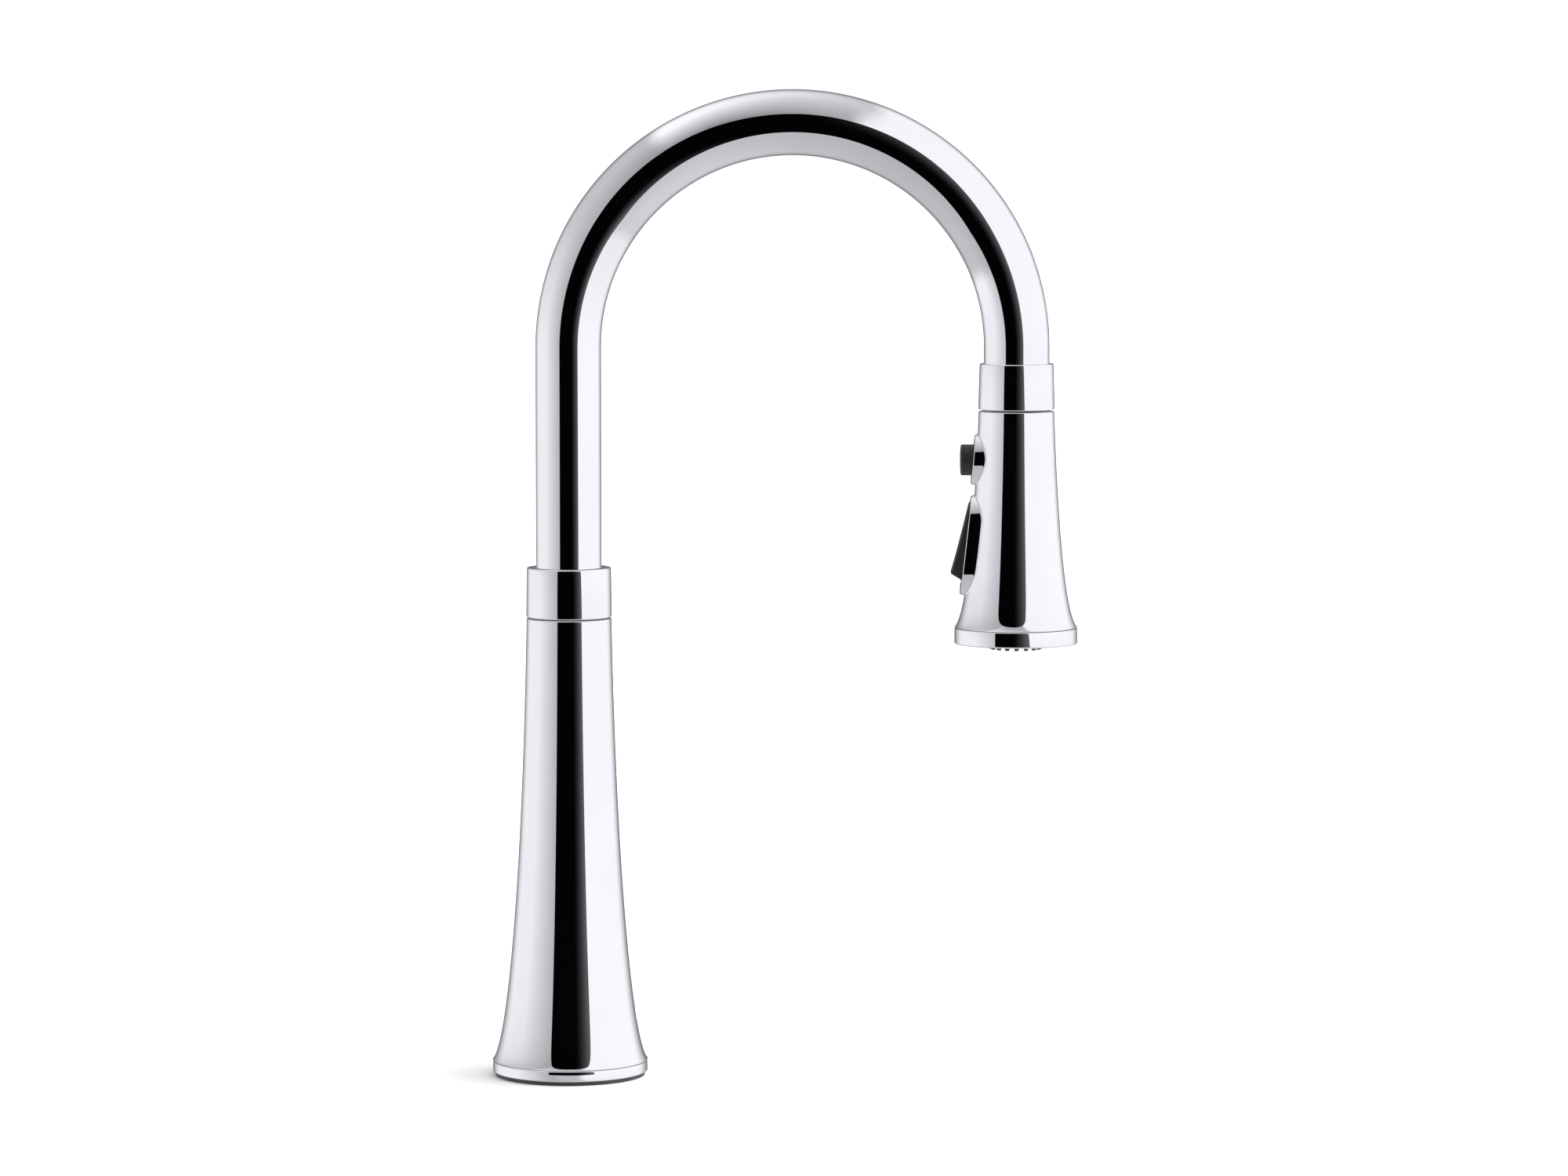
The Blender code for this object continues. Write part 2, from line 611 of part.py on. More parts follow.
def build_lever():
    """The stem and the handle, on an empty at the point where the handle pivots."""
    pivot = add_empty("lever_pivot", (0, PIVOT_REACH, HUB_HEIGHT))
    out = dict(turn=(-math.pi / 2, 0, 0), parent=pivot)
    rotor = rod("stem_rotor", CARTRIDGE_RADIUS - ROTOR_INSET, ROTOR_FOOT, ROTOR_TOP, 24, **out)
    swing = ROTOR_TOP * math.tan(LEVER_TILT) + STEM_RADIUS / math.cos(LEVER_TILT) + CLEARANCE
    play = STEM_RADIUS + 0.0004
    slot_depth = 0.020
    slot = block(
        "rotor_slot", (2 * play, slot_depth, swing + play),
        place=(0, SLOT_FLOOR + slot_depth / 2, (play - swing) / 2), parent=pivot, group=CUTTERS,
    )
    cut(rotor, slot)
    paint(rotor, WHITE_PLASTIC)

    thread_foot = STEM_END - THREAD_LENGTH
    outline = [
        (0, thread_foot),
        (THREAD_RADIUS, thread_foot),
        (THREAD_RADIUS, STEM_END),
        (STEM_RADIUS, STEM_END),
        (STEM_RADIUS, STEM_FOOT),
        (0, STEM_FOOT),
    ]
    paint(turned("cartridge_stem", outline, 16, **out), BRASS)

    socket = STEM_RADIUS + CLEARANCE
    boss_meets = math.acos(CAP_BOSS_RADIUS / CAP_OUTER)
    socket_meets = math.acos(socket / CAP_INNER)
    rim = math.pi / 2 - CAP_ANGLE
    outline = [(THREAD_RADIUS, CAP_BOSS_END), (CAP_BOSS_RADIUS, CAP_BOSS_END)]
    outline += arc((0, 0), CAP_OUTER, boss_meets, rim, 4)
    outline += arc((0, 0), CAP_INNER, rim, socket_meets, 5)
    outline += [(socket, STEM_END + CLEARANCE), (THREAD_RADIUS, STEM_END + CLEARANCE)]
    paint(turned("lever_cap", outline, 24, **out), CHROME)

    eye_bore = CAP_BOSS_RADIUS + CLEARANCE
    lever = rod("lever", EYE_RADIUS, EYE_FOOT, EYE_END, 28, **out)
    middle = (EYE_FOOT + EYE_END) / 2
    start = EYE_RADIUS - 0.0022
    route = []
    radii = []
    steps = 8
    for i in range(steps + 1):
        t = i / steps
        rise = start + (LEVER_LENGTH - start) * t
        route.append((0, middle + LEVER_LEAN * t * t, rise))
        radii.append(LEVER_RADIUS + (LEVER_TIP_RADIUS - LEVER_RADIUS) * t)
    radii[0] = LEVER_TIP_RADIUS - 0.0005
    for angle in (30, 60, 80):
        a = math.radians(angle)
        route.append((0, middle + LEVER_LEAN, LEVER_LENGTH + LEVER_TIP_RADIUS * math.sin(a)))
        radii.append(LEVER_TIP_RADIUS * math.cos(a))
    blade = tube_curve(
        "lever_blade", route, LEVER_RADIUS, 12, radii=radii, parent=pivot, group=CUTTERS
    )
    join(lever, as_mesh(blade))
    bore = rod("eye_bore", eye_bore, EYE_FOOT - 0.002, EYE_END + 0.01, 28, group=CUTTERS, **out)
    cut(lever, bore)
    paint(lever, CHROME)

    head_foot = CAP_BOSS_END + CLEARANCE
    head_top = head_foot + 0.0020
    head_radius = 0.0045
    shaft = THREAD_RADIUS - CLEARANCE
    shaft_foot = thread_foot + 0.001
    outline = [
        (0, head_top),
        (head_radius, head_top),
        (head_radius, head_foot),
        (shaft, head_foot),
        (shaft, shaft_foot),
        (0, shaft_foot),
    ]
    paint(turned("lever_screw", outline, 16, **out), STEEL)
    plug_foot = head_top + CLEARANCE
    plug = rod("lever_plug", CAP_BOSS_RADIUS, plug_foot, EYE_END + 0.0002, 28, **out)
    paint(plug, CHROME)


def build_swivel():
    flange = VALVE_RADIUS - 0.0002
    flange_top = VALVE_TOP + BUSH_FLANGE
    outline = [
        (flange, flange_top),
        (flange, VALVE_TOP + CLEARANCE),
        (BUSH_RADIUS, VALVE_TOP + CLEARANCE),
        (BUSH_RADIUS, BUSH_FOOT),
        (BUSH_BORE, BUSH_FOOT),
        (BUSH_BORE, flange_top),
    ]
    paint(turned("swivel_bush", outline, 24), WHITE_PLASTIC)
    centre = (STUB_RADIUS + CLEARANCE + ORING_SECTION, flange_top + CLEARANCE + ORING_SECTION)
    outline = arc(centre, ORING_SECTION, math.pi / 2, -7 / 6 * math.pi, 5)
    paint(turned("swivel_oring", outline, 24), BLACK_RUBBER)
    washer = ring(
        "swivel_washer", COLUMN_RADIUS - 0.0010, STUB_RADIUS + CLEARANCE,
        COLUMN_TOP + CLEARANCE, COLLAR_FOOT - CLEARANCE, 32,
    )
    paint(washer, BLACK_PLASTIC)


def build_spout():
    groove = STUB_FOOT + 0.0013
    groove_width = 0.0015
    groove_radius = STUB_RADIUS - 0.0012
    stub_top = COLLAR_FOOT + STUB_TOP
    outline = [
        (STUB_HEAD_RADIUS, stub_top),
        (STUB_HEAD_RADIUS, COLLAR_SEAT),
        (STUB_RADIUS, COLLAR_SEAT),
        (STUB_RADIUS, groove + groove_width),
        (groove_radius, groove + groove_width),
        (groove_radius, groove),
        (STUB_RADIUS, groove),
        (STUB_RADIUS, STUB_FOOT),
        (STUB_BORE, STUB_FOOT),
        (STUB_BORE, stub_top),
    ]
    paint(turned("spout_stub", outline, 24), BRASS)
    clip = ring(
        "retaining_ring", STUB_RADIUS + 0.0014, groove_radius + CLEARANCE,
        groove + CLEARANCE, groove + groove_width - CLEARANCE, 24,
    )
    gap = block(
        "retaining_ring_gap", (0.010, 0.004, 0.006), place=(0.0135, 0, groove), group=CUTTERS
    )
    cut(clip, gap)
    paint(clip, STEEL)

    edge = 0.0006
    collar_top = COLLAR_FOOT + COLLAR_HEIGHT
    outline = [
        (COLLAR_RADIUS - 0.0003 - edge, collar_top),
        (COLLAR_RADIUS - 0.0003, collar_top - edge),
        (COLLAR_RADIUS, COLLAR_FOOT + edge),
        (COLLAR_RADIUS - edge, COLLAR_FOOT),
        (STUB_RADIUS + CLEARANCE, COLLAR_FOOT),
        (STUB_RADIUS + CLEARANCE, COLLAR_FOOT + COLLAR_FLOOR),
        (TUBE_RADIUS + CLEARANCE, COLLAR_FOOT + COLLAR_FLOOR),
        (TUBE_RADIUS + CLEARANCE, collar_top),
    ]
    paint(turned("swivel_collar", outline, 32), CHROME)

    route = [(0, 0, TUBE_FOOT), (0, 0, (TUBE_FOOT + ARCH_HEIGHT) / 2)]
    route += arch_route(ARCH_STEPS)
    route.append((REACH, 0, OUTLET_HEIGHT))
    tube = tube_curve("spout_tube", route, TUBE_RADIUS, TUBE_SIDES, caps=False)
    wall = tube.modifiers.new("Wall", "SOLIDIFY")
    wall.thickness = TUBE_WALL
    wall.offset = -1
    wall.use_even_offset = True
    paint(tube, CHROME)


def arch_route(steps):
    """The arch's centre line, from above the column to above the spray head."""
    half = arc((ARCH_RADIUS, ARCH_HEIGHT), ARCH_RADIUS, math.pi, 0, steps)
    return [(x, 0, z) for x, z in half]


def build_dock():
    """The spout's mouth: collar, guide and magnet that hold the spray head."""
    dock = add_empty("spray_dock", (REACH, 0, 0))
    collar_top = DOCK_FOOT + DOCK_COLLAR_HEIGHT
    foot_radius = DOCK_COLLAR_RADIUS + DOCK_COLLAR_TAPER
    lip_bore = NECK_BASE_RADIUS + 0.0005
    edge = 0.0004
    outline = [
        (DOCK_COLLAR_RADIUS - edge, collar_top),
        (DOCK_COLLAR_RADIUS, collar_top - edge),
        (foot_radius, DOCK_FOOT + edge),
        (foot_radius - edge, DOCK_FOOT),
        (lip_bore, DOCK_FOOT),
        (lip_bore, DOCK_FOOT + DOCK_FLOOR),
        (TUBE_RADIUS + CLEARANCE, DOCK_FOOT + DOCK_FLOOR),
        (TUBE_RADIUS + CLEARANCE, collar_top),
    ]
    paint(turned("dock_collar", outline, 32, parent=dock), CHROME)
    guide_foot = OUTLET_HEIGHT + CLEARANCE
    guide_top = NECK_TOP + 0.0040
    outline = [
        (GUIDE_RADIUS, guide_top),
        (GUIDE_RADIUS, guide_foot),
        (NECK_BASE_RADIUS + 0.0004, guide_foot),
        (NECK_TOP_RADIUS + 0.0005, guide_top),
    ]
    paint(turned("hose_guide", outline, 24, parent=dock), WHITE_PLASTIC)
    magnet_foot = guide_top + CLEARANCE
    magnet = ring(
        "dock_magnet", GUIDE_RADIUS, HOSE_RADIUS + 0.0032, magnet_foot,
        magnet_foot + MAGNET_HEIGHT, 24, parent=dock,
    )
    paint(magnet, MAGNET)
    return dock


def build_hose():
    """The hose along its real way: spray head, arch, column, and out below the deck."""
    straight_steps = 12
    drop = (ARCH_HEIGHT - HOSE_BOTTOM) / straight_steps
    route = [(0, 0, HOSE_BOTTOM + drop * i) for i in range(straight_steps)]
    route += arch_route(14)
    route += [(REACH, 0, (ARCH_HEIGHT + HOSE_END) / 2), (REACH, 0, HOSE_END)]
    paint(tube_curve("pull_out_hose", route, HOSE_RADIUS, 8), BRAID)
    fitting_top = HOSE_BOTTOM - CLEARANCE
    shoulder = fitting_top - 0.012
    fitting_foot = fitting_top - 0.020
    body_radius = HOSE_RADIUS + 0.0020
    nose_radius = HOSE_RADIUS - 0.0010
    fitting_bore = 0.0030
    outline = [
        (body_radius, fitting_top),
        (body_radius, shoulder),
        (nose_radius, shoulder),
        (nose_radius, fitting_foot),
        (fitting_bore, fitting_foot),
        (fitting_bore, fitting_top),
    ]
    paint(turned("hose_fitting", outline, 16), BRASS)


def boss_cylinder(dock):
    """The round pad that carries the upper button, its face leaning with the head's side."""
    depth = BUTTON_BOSS_REACH - 0.0128
    return rod(
        "button_boss", BUTTON_BOSS_RADIUS, -depth, 0, 32,
        place=(-BUTTON_BOSS_REACH, 0, BUTTON_HEIGHT + 0.0002),
        turn=(0, -math.pi / 2 + BUTTON_BOSS_TILT, 0), parent=dock, group=CUTTERS,
    )


def rocker_boss(dock):
    """The long pad with round ends that carries the rocker."""
    half = ROCKER_BOSS_LENGTH / 2 - ROCKER_BOSS_HALF_WIDTH
    outline = arc((half, 0), ROCKER_BOSS_HALF_WIDTH, -math.pi / 2, math.pi / 2, 10)
    outline += arc((-half, 0), ROCKER_BOSS_HALF_WIDTH, math.pi / 2, 1.5 * math.pi, 10)
    depth = 0.0082
    tilt = ROCKER_BOSS_TILT
    middle_height = ROCKER_HINGE_HEIGHT - 0.0168
    return plate(
        "rocker_boss", outline, depth,
        place=(
            -ROCKER_BOSS_REACH + depth / 2 * math.cos(tilt),
            0,
            middle_height - depth / 2 * math.sin(tilt),
        ),
        turn=(0, -math.pi / 2 + tilt, 0), parent=dock, group=CUTTERS,
    )


def build_spray_shell(dock):
    outline = shell_profile(
        spray_outline(), SPRAY_WALL, NECK_BASE_RADIUS + 0.0004, SPRAY_WALL
    )
    shell = turned("spray_shell", outline, 36, parent=dock)
    join(shell, boss_cylinder(dock))
    join(shell, rocker_boss(dock))
    button_hole = rod(
        "button_hole", BUTTON_RADIUS + CLEARANCE, 0.008, 0.040, 28,
        place=(0, 0, BUTTON_HEIGHT), turn=(0, -math.pi / 2, 0), parent=dock, group=CUTTERS,
    )
    cut(shell, button_hole)
    window_outline = door_outline(
        ROCKER_HALF_WIDTH + CLEARANCE, ROCKER_TOP + CLEARANCE, -ROCKER_LENGTH - 0.0014,
        ROCKER_CORNER + CLEARANCE,
    )
    window = plate(
        "rocker_window", window_outline, 0.030,
        place=(-0.026, 0, ROCKER_HINGE_HEIGHT), turn=(0, -math.pi / 2, 0), parent=dock,
        group=CUTTERS,
    )
    cut(shell, window)
    pin_hole = rod(
        "rocker_pin_hole", PIN_RADIUS + CLEARANCE, -PIN_REACH - CLEARANCE, PIN_REACH + CLEARANCE, 12,
        place=(-ROCKER_HINGE_REACH, 0, ROCKER_HINGE_HEIGHT), turn=(math.pi / 2, 0, 0),
        parent=dock, group=CUTTERS,
    )
    cut(shell, pin_hole)
    paint(shell, CHROME)


def build_spray_face(dock):
    edge = 0.0007
    outline = [
        (SPRAY_RADIUS, RING_TOP),
        (SPRAY_RADIUS + 0.0001, RING_FOOT + edge),
        (SPRAY_RADIUS - edge, RING_FOOT),
        (RING_BORE, RING_FOOT),
        (RING_BORE, RING_TOP),
    ]
    paint(turned("spray_ring", outline, 36, parent=dock), CHROME)
    face_foot = RING_FOOT + FACE_DEPTH
    face_top = face_foot + FACE_THICKNESS
    face_radius = RING_BORE - CLEARANCE
    face = ring(
        "spray_face", face_radius, PAD_RADIUS + CLEARANCE, face_foot, face_top, 32, parent=dock
    )
    paint(face, CHARCOAL)
    screen = face_foot - 0.0004
    pad = ring(
        "nozzle_pad", PAD_RADIUS, AERATOR_RADIUS + CLEARANCE, screen, face_top, 28, parent=dock
    )
    nozzle_foot = RING_FOOT - NOZZLE_LENGTH
    for i in range(NOZZLES):
        angle = 2 * math.pi * i / NOZZLES
        outline = [
            (0, face_foot + 0.001),
            (0.0014, face_foot + 0.001),
            (0.0010, nozzle_foot),
            (0, nozzle_foot),
        ]
        place = (NOZZLE_RING * math.cos(angle), NOZZLE_RING * math.sin(angle), 0)
        nozzle = turned(f"nozzle_{i}", outline, 8, place=place, parent=dock, group=CUTTERS)
        join(pad, nozzle)
    paint(pad, GREY_RUBBER)
    rim_foot = screen - 0.0015
    rim_bore = AERATOR_RADIUS - 0.0015
    outline = [
        (0, face_top),
        (AERATOR_RADIUS, face_top),
        (AERATOR_RADIUS, rim_foot),
        (rim_bore, rim_foot),
        (rim_bore, screen + 0.0008),
        (0, screen + 0.0008),
    ]
    paint(turned("aerator", outline, 20, parent=dock), WHITE_PLASTIC)
    plate_foot = face_top + CLEARANCE
    plate_top = plate_foot + DIVERTER_THICKNESS
    paint(
        rod("diverter_plate", face_radius - 0.0002, plate_foot, plate_top, 24, parent=dock),
        WHITE_PLASTIC,
    )
    return plate_top


def build_waterway(dock, plate_top):
    foot = plate_top + CLEARANCE
    flange_top = foot + 0.0040
    top = HOSE_END - 0.0009
    bore = WATERWAY_RADIUS - 0.0030
    flange = RING_BORE - 0.0009
    outline = [
        (0, foot + 0.0025),
        (bore, foot + 0.0025),
        (bore, top),
        (WATERWAY_RADIUS, top),
        (WATERWAY_RADIUS, flange_top + 0.0010),
        (flange, flange_top),
        (flange, foot),
        (0, foot),
    ]
    paint(turned("waterway", outline, 24, parent=dock), BLACK_PLASTIC)
    check_top = top - 0.0010
    outline = [
        (bore - CLEARANCE, check_top),
        (bore - CLEARANCE, check_top - 0.0070),
        (0.0022, check_top - 0.0070),
        (0.0022, check_top),
    ]
    paint(turned("check_valve", outline, 16, parent=dock), WHITE_PLASTIC)


def build_neck(dock):
    flange_foot = NECK_FOOT - 0.0058
    flange_radius = SPRAY_TOP_RADIUS - SPRAY_WALL - 0.0006
    nut_bore = NUT_RADIUS + CLEARANCE
    shoulder = NECK_FOOT + 0.0019
    outline = [
        (NECK_TOP_RADIUS, NECK_TOP),
        (NECK_BASE_RADIUS, NECK_FOOT + 0.0004),
        (NECK_BASE_RADIUS, NECK_FOOT),
        (flange_radius, NECK_FOOT),
        (flange_radius, flange_foot),
        (nut_bore, flange_foot),
        (nut_bore, shoulder),
        (NECK_BORE, shoulder),
        (NECK_BORE, NECK_TOP),
    ]
    paint(turned("head_neck", outline, 24, parent=dock), BLACK_PLASTIC)
    magnet_foot = NECK_TOP + CLEARANCE
    magnet = ring(
        "head_magnet", NECK_TOP_RADIUS - 0.0002, NECK_BORE + CLEARANCE,
        magnet_foot, magnet_foot + 0.0034, 24, parent=dock,
    )
    paint(magnet, MAGNET)
    nut = ring(
        "hose_nut", NUT_RADIUS, HOSE_RADIUS + CLEARANCE, HOSE_END + 0.0006, shoulder - CLEARANCE,
        20, parent=dock,
    )
    paint(nut, BRASS)


def build_controls(dock):
    """The upper button with its spring, and the rocker with its pin."""
    edge = 0.0006
    flange_radius = BUTTON_RADIUS + 0.0010
    flange_back = BUTTON_FLANGE_REACH - BUTTON_FLANGE
    outline = [
        (0, BUTTON_REACH),
        (BUTTON_RADIUS - edge, BUTTON_REACH - 0.0001),
        (BUTTON_RADIUS, BUTTON_REACH - edge),
        (BUTTON_RADIUS, BUTTON_FLANGE_REACH),
        (flange_radius, BUTTON_FLANGE_REACH),
        (flange_radius, flange_back),
        (0, flange_back),
    ]
    button = turned(
        "boost_button", outline, 28,
        place=(0, 0, BUTTON_HEIGHT), turn=(0, -math.pi / 2, 0), parent=dock,
    )
    paint(button, CHARCOAL)

    seat = WATERWAY_RADIUS + CLEARANCE + SPRING_WIRE
    reach = flange_back - CLEARANCE - SPRING_WIRE - seat
    count = 25
    route = []
    for i in range(count + 1):
        angle = 2 * math.pi * SPRING_TURNS * i / count
        along = -(seat + reach * i / count)
        route.append((along, SPRING_COIL * math.cos(angle), SPRING_COIL * math.sin(angle)))
    spring = tube_curve(
        "button_spring", route, SPRING_WIRE, 8, place=(0, 0, BUTTON_HEIGHT), parent=dock
    )
    paint(spring, STEEL)

    hinge = add_empty("rocker_hinge", (-ROCKER_HINGE_REACH, 0, ROCKER_HINGE_HEIGHT))
    hinge.parent = dock
    top = (-0.00235, ROCKER_TOP)
    corner = (top[0] - ROCKER_RISE, top[1] - ROCKER_LENGTH)
    corner_radius = 0.0012
    lean = math.atan2(ROCKER_RISE, ROCKER_LENGTH)
    centre = (
        corner[0] + corner_radius / math.cos(lean),
        corner[1] + corner_radius * 0.6,
    )
    outline = [(0.0020, ROCKER_TOP - 0.0005), top]
    outline += arc(centre, corner_radius, math.pi - lean, 1.5 * math.pi - 0.5, 4)
    outline += [
        (corner[0] + 0.0056, corner[1] - 0.0030),
        (-0.0003, corner[1] - 0.0026),
        (0.0024, -0.0024),
    ]
    width = 2 * ROCKER_HALF_WIDTH + 0.002
    rocker = plate("mode_rocker", outline, width, turn=(math.pi / 2, 0, 0), parent=hinge)
    front = door_outline(ROCKER_HALF_WIDTH, ROCKER_TOP, -ROCKER_LENGTH - 0.0004, ROCKER_CORNER)
    door = plate(
        "rocker_front", front, 0.030, turn=(0, -math.pi / 2, 0), parent=hinge, group=CUTTERS
    )
    combine(rocker, door, "INTERSECT")
    pin_hole = rod(
        "rocker_bore", PIN_RADIUS + CLEARANCE, -0.012, 0.012, 12,
        turn=(math.pi / 2, 0, 0), parent=hinge, group=CUTTERS,
    )
    cut(rocker, pin_hole)
    paint(rocker, CHARCOAL)
    pin = rod(
        "rocker_pin", PIN_RADIUS, -PIN_REACH, PIN_REACH, 12, turn=(math.pi / 2, 0, 0), parent=hinge
    )
    paint(pin, STEEL)


def build():
    build_base()
    build_column()
    build_valve_body()
    build_deck_fixing()
    build_lever_seat()
    build_lever()
    build_swivel()
    build_spout()
    build_hose()
    dock = build_dock()
    build_spray_shell(dock)
    plate_top = build_spray_face(dock)
    build_waterway(dock, plate_top)
    build_neck(dock)
    build_controls(dock)


clear_scene()
PIECES = add_collection("pull_down_faucet")
CUTTERS = add_collection("cutters", hidden=True)
build()
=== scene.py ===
"""A pull-down kitchen faucet in polished chrome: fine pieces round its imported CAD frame."""

import json
import math

import bmesh
import bpy
import numpy as np
from mathutils import Matrix, Vector

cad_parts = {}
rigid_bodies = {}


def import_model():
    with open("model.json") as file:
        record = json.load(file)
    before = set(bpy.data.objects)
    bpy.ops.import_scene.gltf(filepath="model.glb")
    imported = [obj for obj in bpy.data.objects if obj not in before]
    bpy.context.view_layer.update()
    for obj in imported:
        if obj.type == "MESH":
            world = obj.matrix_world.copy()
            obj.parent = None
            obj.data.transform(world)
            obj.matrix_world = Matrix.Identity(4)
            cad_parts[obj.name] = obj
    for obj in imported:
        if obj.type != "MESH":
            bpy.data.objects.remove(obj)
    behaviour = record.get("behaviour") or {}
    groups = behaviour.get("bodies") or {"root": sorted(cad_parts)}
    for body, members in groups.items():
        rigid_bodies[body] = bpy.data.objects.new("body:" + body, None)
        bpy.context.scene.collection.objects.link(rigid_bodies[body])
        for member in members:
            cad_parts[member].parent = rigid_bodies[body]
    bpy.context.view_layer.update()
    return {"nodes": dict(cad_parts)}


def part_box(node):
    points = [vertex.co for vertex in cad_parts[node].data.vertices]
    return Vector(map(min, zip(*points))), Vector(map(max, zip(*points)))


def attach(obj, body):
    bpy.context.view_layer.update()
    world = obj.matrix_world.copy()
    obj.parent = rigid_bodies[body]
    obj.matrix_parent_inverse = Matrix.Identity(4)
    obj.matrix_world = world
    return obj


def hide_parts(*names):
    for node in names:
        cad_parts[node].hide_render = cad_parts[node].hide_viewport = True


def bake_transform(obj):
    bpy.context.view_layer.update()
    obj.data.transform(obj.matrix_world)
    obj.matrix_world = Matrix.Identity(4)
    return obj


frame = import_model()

MM = 0.001
AROUND = 144

# Places taken from the frame. Heights run up from the deck.
base_low, base_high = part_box("base_ring")
column_low, column_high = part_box("column_shell")
collar_low, collar_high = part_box("swivel_collar")
washer_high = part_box("swivel_washer")[1]
tube_low, tube_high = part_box("spout_tube")
dock_low, dock_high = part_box("dock_collar")
head_low, head_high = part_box("spray_shell")
ring_low, ring_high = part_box("spray_ring")
cap_low, cap_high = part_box("lever_cap")
sleeve_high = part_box("cartridge_sleeve")[1]
plug_low, plug_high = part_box("lever_plug")

REACH = (ring_low.x + ring_high.x) / 2
TUBE_RADIUS = tube_high.y
ARCH_RADIUS = REACH / 2
ARCH_HEIGHT = tube_high.z - TUBE_RADIUS - ARCH_RADIUS
TUBE_WALL = 1.5 * MM
TUBE_SOCKET = TUBE_RADIUS + 0.3 * MM
HUB_HEIGHT = (cap_low.z + cap_high.z) / 2
HUB_BORE = 15.3 * MM
HEAD = Vector((REACH, 0, 0))
COLUMN_TOP_RADIUS = 19.45 * MM
HEAD_TOP_RADIUS = 17.3 * MM
HEAD_WALL = 1.5 * MM


# ---------------------------------------------------------------- node and colour helpers


def linear(hex_colour):
    """An sRGB hex colour as linear RGBA."""
    shares = [int(hex_colour[i : i + 2], 16) / 255 for i in (1, 3, 5)]
    return [((s + 0.055) / 1.055) ** 2.4 if s > 0.04045 else s / 12.92 for s in shares] + [1]


def add(tree, kind, inputs=None, **settings):
    """Adds one node with its settings. Each input takes a value, or a link from an output."""
    node = tree.nodes.new(kind)
    for name, value in settings.items():
        setattr(node, name, value)
    for socket, value in (inputs or {}).items():
        if isinstance(value, bpy.types.NodeSocket):
            tree.links.new(value, node.inputs[socket])
        else:
            node.inputs[socket].default_value = value
    return node


def empty_tree(holder):
    """Clears the node tree of a material or a world."""
    holder.use_nodes = True
    holder.node_tree.nodes.clear()
    return holder.node_tree


def start_material(name, **shader_values):
    """A material with only its shader and output; returns (material, tree, shader)."""
    material = bpy.data.materials.new(name)
    tree = empty_tree(material)
    shader = add(tree, "ShaderNodeBsdfPrincipled", shader_values)
    add(tree, "ShaderNodeOutputMaterial", {"Surface": shader.outputs[0]})
    return material, tree, shader


def wire_surface(tree, shader, colours, cloud, height, strength, depth, gloss=None, grit=None):
    """Wires a finish: a cloud runs its colour, grit its roughness, and a height its relief."""
    ramp = add(tree, "ShaderNodeValToRGB", {"Fac": cloud})
    for element, colour in zip(ramp.color_ramp.elements, colours):
        element.color = linear(colour)
    bump = add(tree, "ShaderNodeBump", {"Strength": strength, "Distance": depth, "Height": height})
    tree.links.new(ramp.outputs["Color"], shader.inputs["Base Color"])
    tree.links.new(bump.outputs[0], shader.inputs["Normal"])
    if gloss:
        low, high = gloss
        rough = add(tree, "ShaderNodeMapRange", {"Value": grit, "To Min": low, "To Max": high})
        tree.links.new(rough.outputs["Result"], shader.inputs["Roughness"])


# ---------------------------------------------------------------- finishes


def make_chrome_plate():
    """Bright nickel-chromium plate, 0.3 microns over buffed brass.

    It mirrors the room with a cool cast. Buffing leaves waves some 8 mm long, too low to see as
    relief, and a film of handling softens the gloss in patches about 20 mm across.
    """
    material, tree, shader = start_material("chrome_plate", Metallic=1.0)
    place = add(tree, "ShaderNodeTexCoord").outputs["Object"]
    film, wave = (
        add(
            tree, "ShaderNodeTexNoise", {"Vector": place, "Scale": 1 / size, "Detail": detail}
        ).outputs["Fac"]
        for size, detail in ((20 * MM, 3.0), (8 * MM, 1.0))
    )
    wire_surface(
        tree, shader, ("#E3E4EA", "#EAEBF1"), film, wave, 0.04, 0.02 * MM, (0.015, 0.04), film
    )
    return material


def make_turned_metal(name, dark, light, roughness, pitch):
    """Metal turned on a lathe: the tool leaves fine rings, one for each turn, along the axis."""
    material, tree, shader = start_material(name, Metallic=1.0)
    place = add(tree, "ShaderNodeTexCoord").outputs["Object"]
    rings = add(
        tree, "ShaderNodeTexWave",
        {"Vector": place, "Scale": 1 / (20 * pitch), "Distortion": 0.6, "Detail": 2.0},
        bands_direction="Z",
    ).outputs["Fac"]
    stain = add(
        tree, "ShaderNodeTexNoise", {"Vector": place, "Scale": 1 / (6 * MM), "Detail": 4.0}
    ).outputs["Fac"]
    wire_surface(
        tree, shader, (dark, light), stain, rings, 0.25, 0.01 * MM,
        (roughness, roughness + 0.12), stain,
    )
    return material


def make_moulded(name, dark, light, roughness, grain, depth, **shader_values):
    """Moulded plastic or rubber: a spark-eroded mould's grain, and a faint cloud of pigment."""
    material, tree, shader = start_material(name, **shader_values)
    place = add(tree, "ShaderNodeTexCoord").outputs["Object"]
    cloud, grit = (
        add(
            tree, "ShaderNodeTexNoise", {"Vector": place, "Scale": 1 / size, "Detail": detail}
        ).outputs["Fac"]
        for size, detail in ((9 * MM, 3.0), (grain, 2.0))
    )
    wire_surface(
        tree, shader, (dark, light), cloud, grit, 0.5, depth, (roughness, roughness + 0.1), grit
    )
    return material


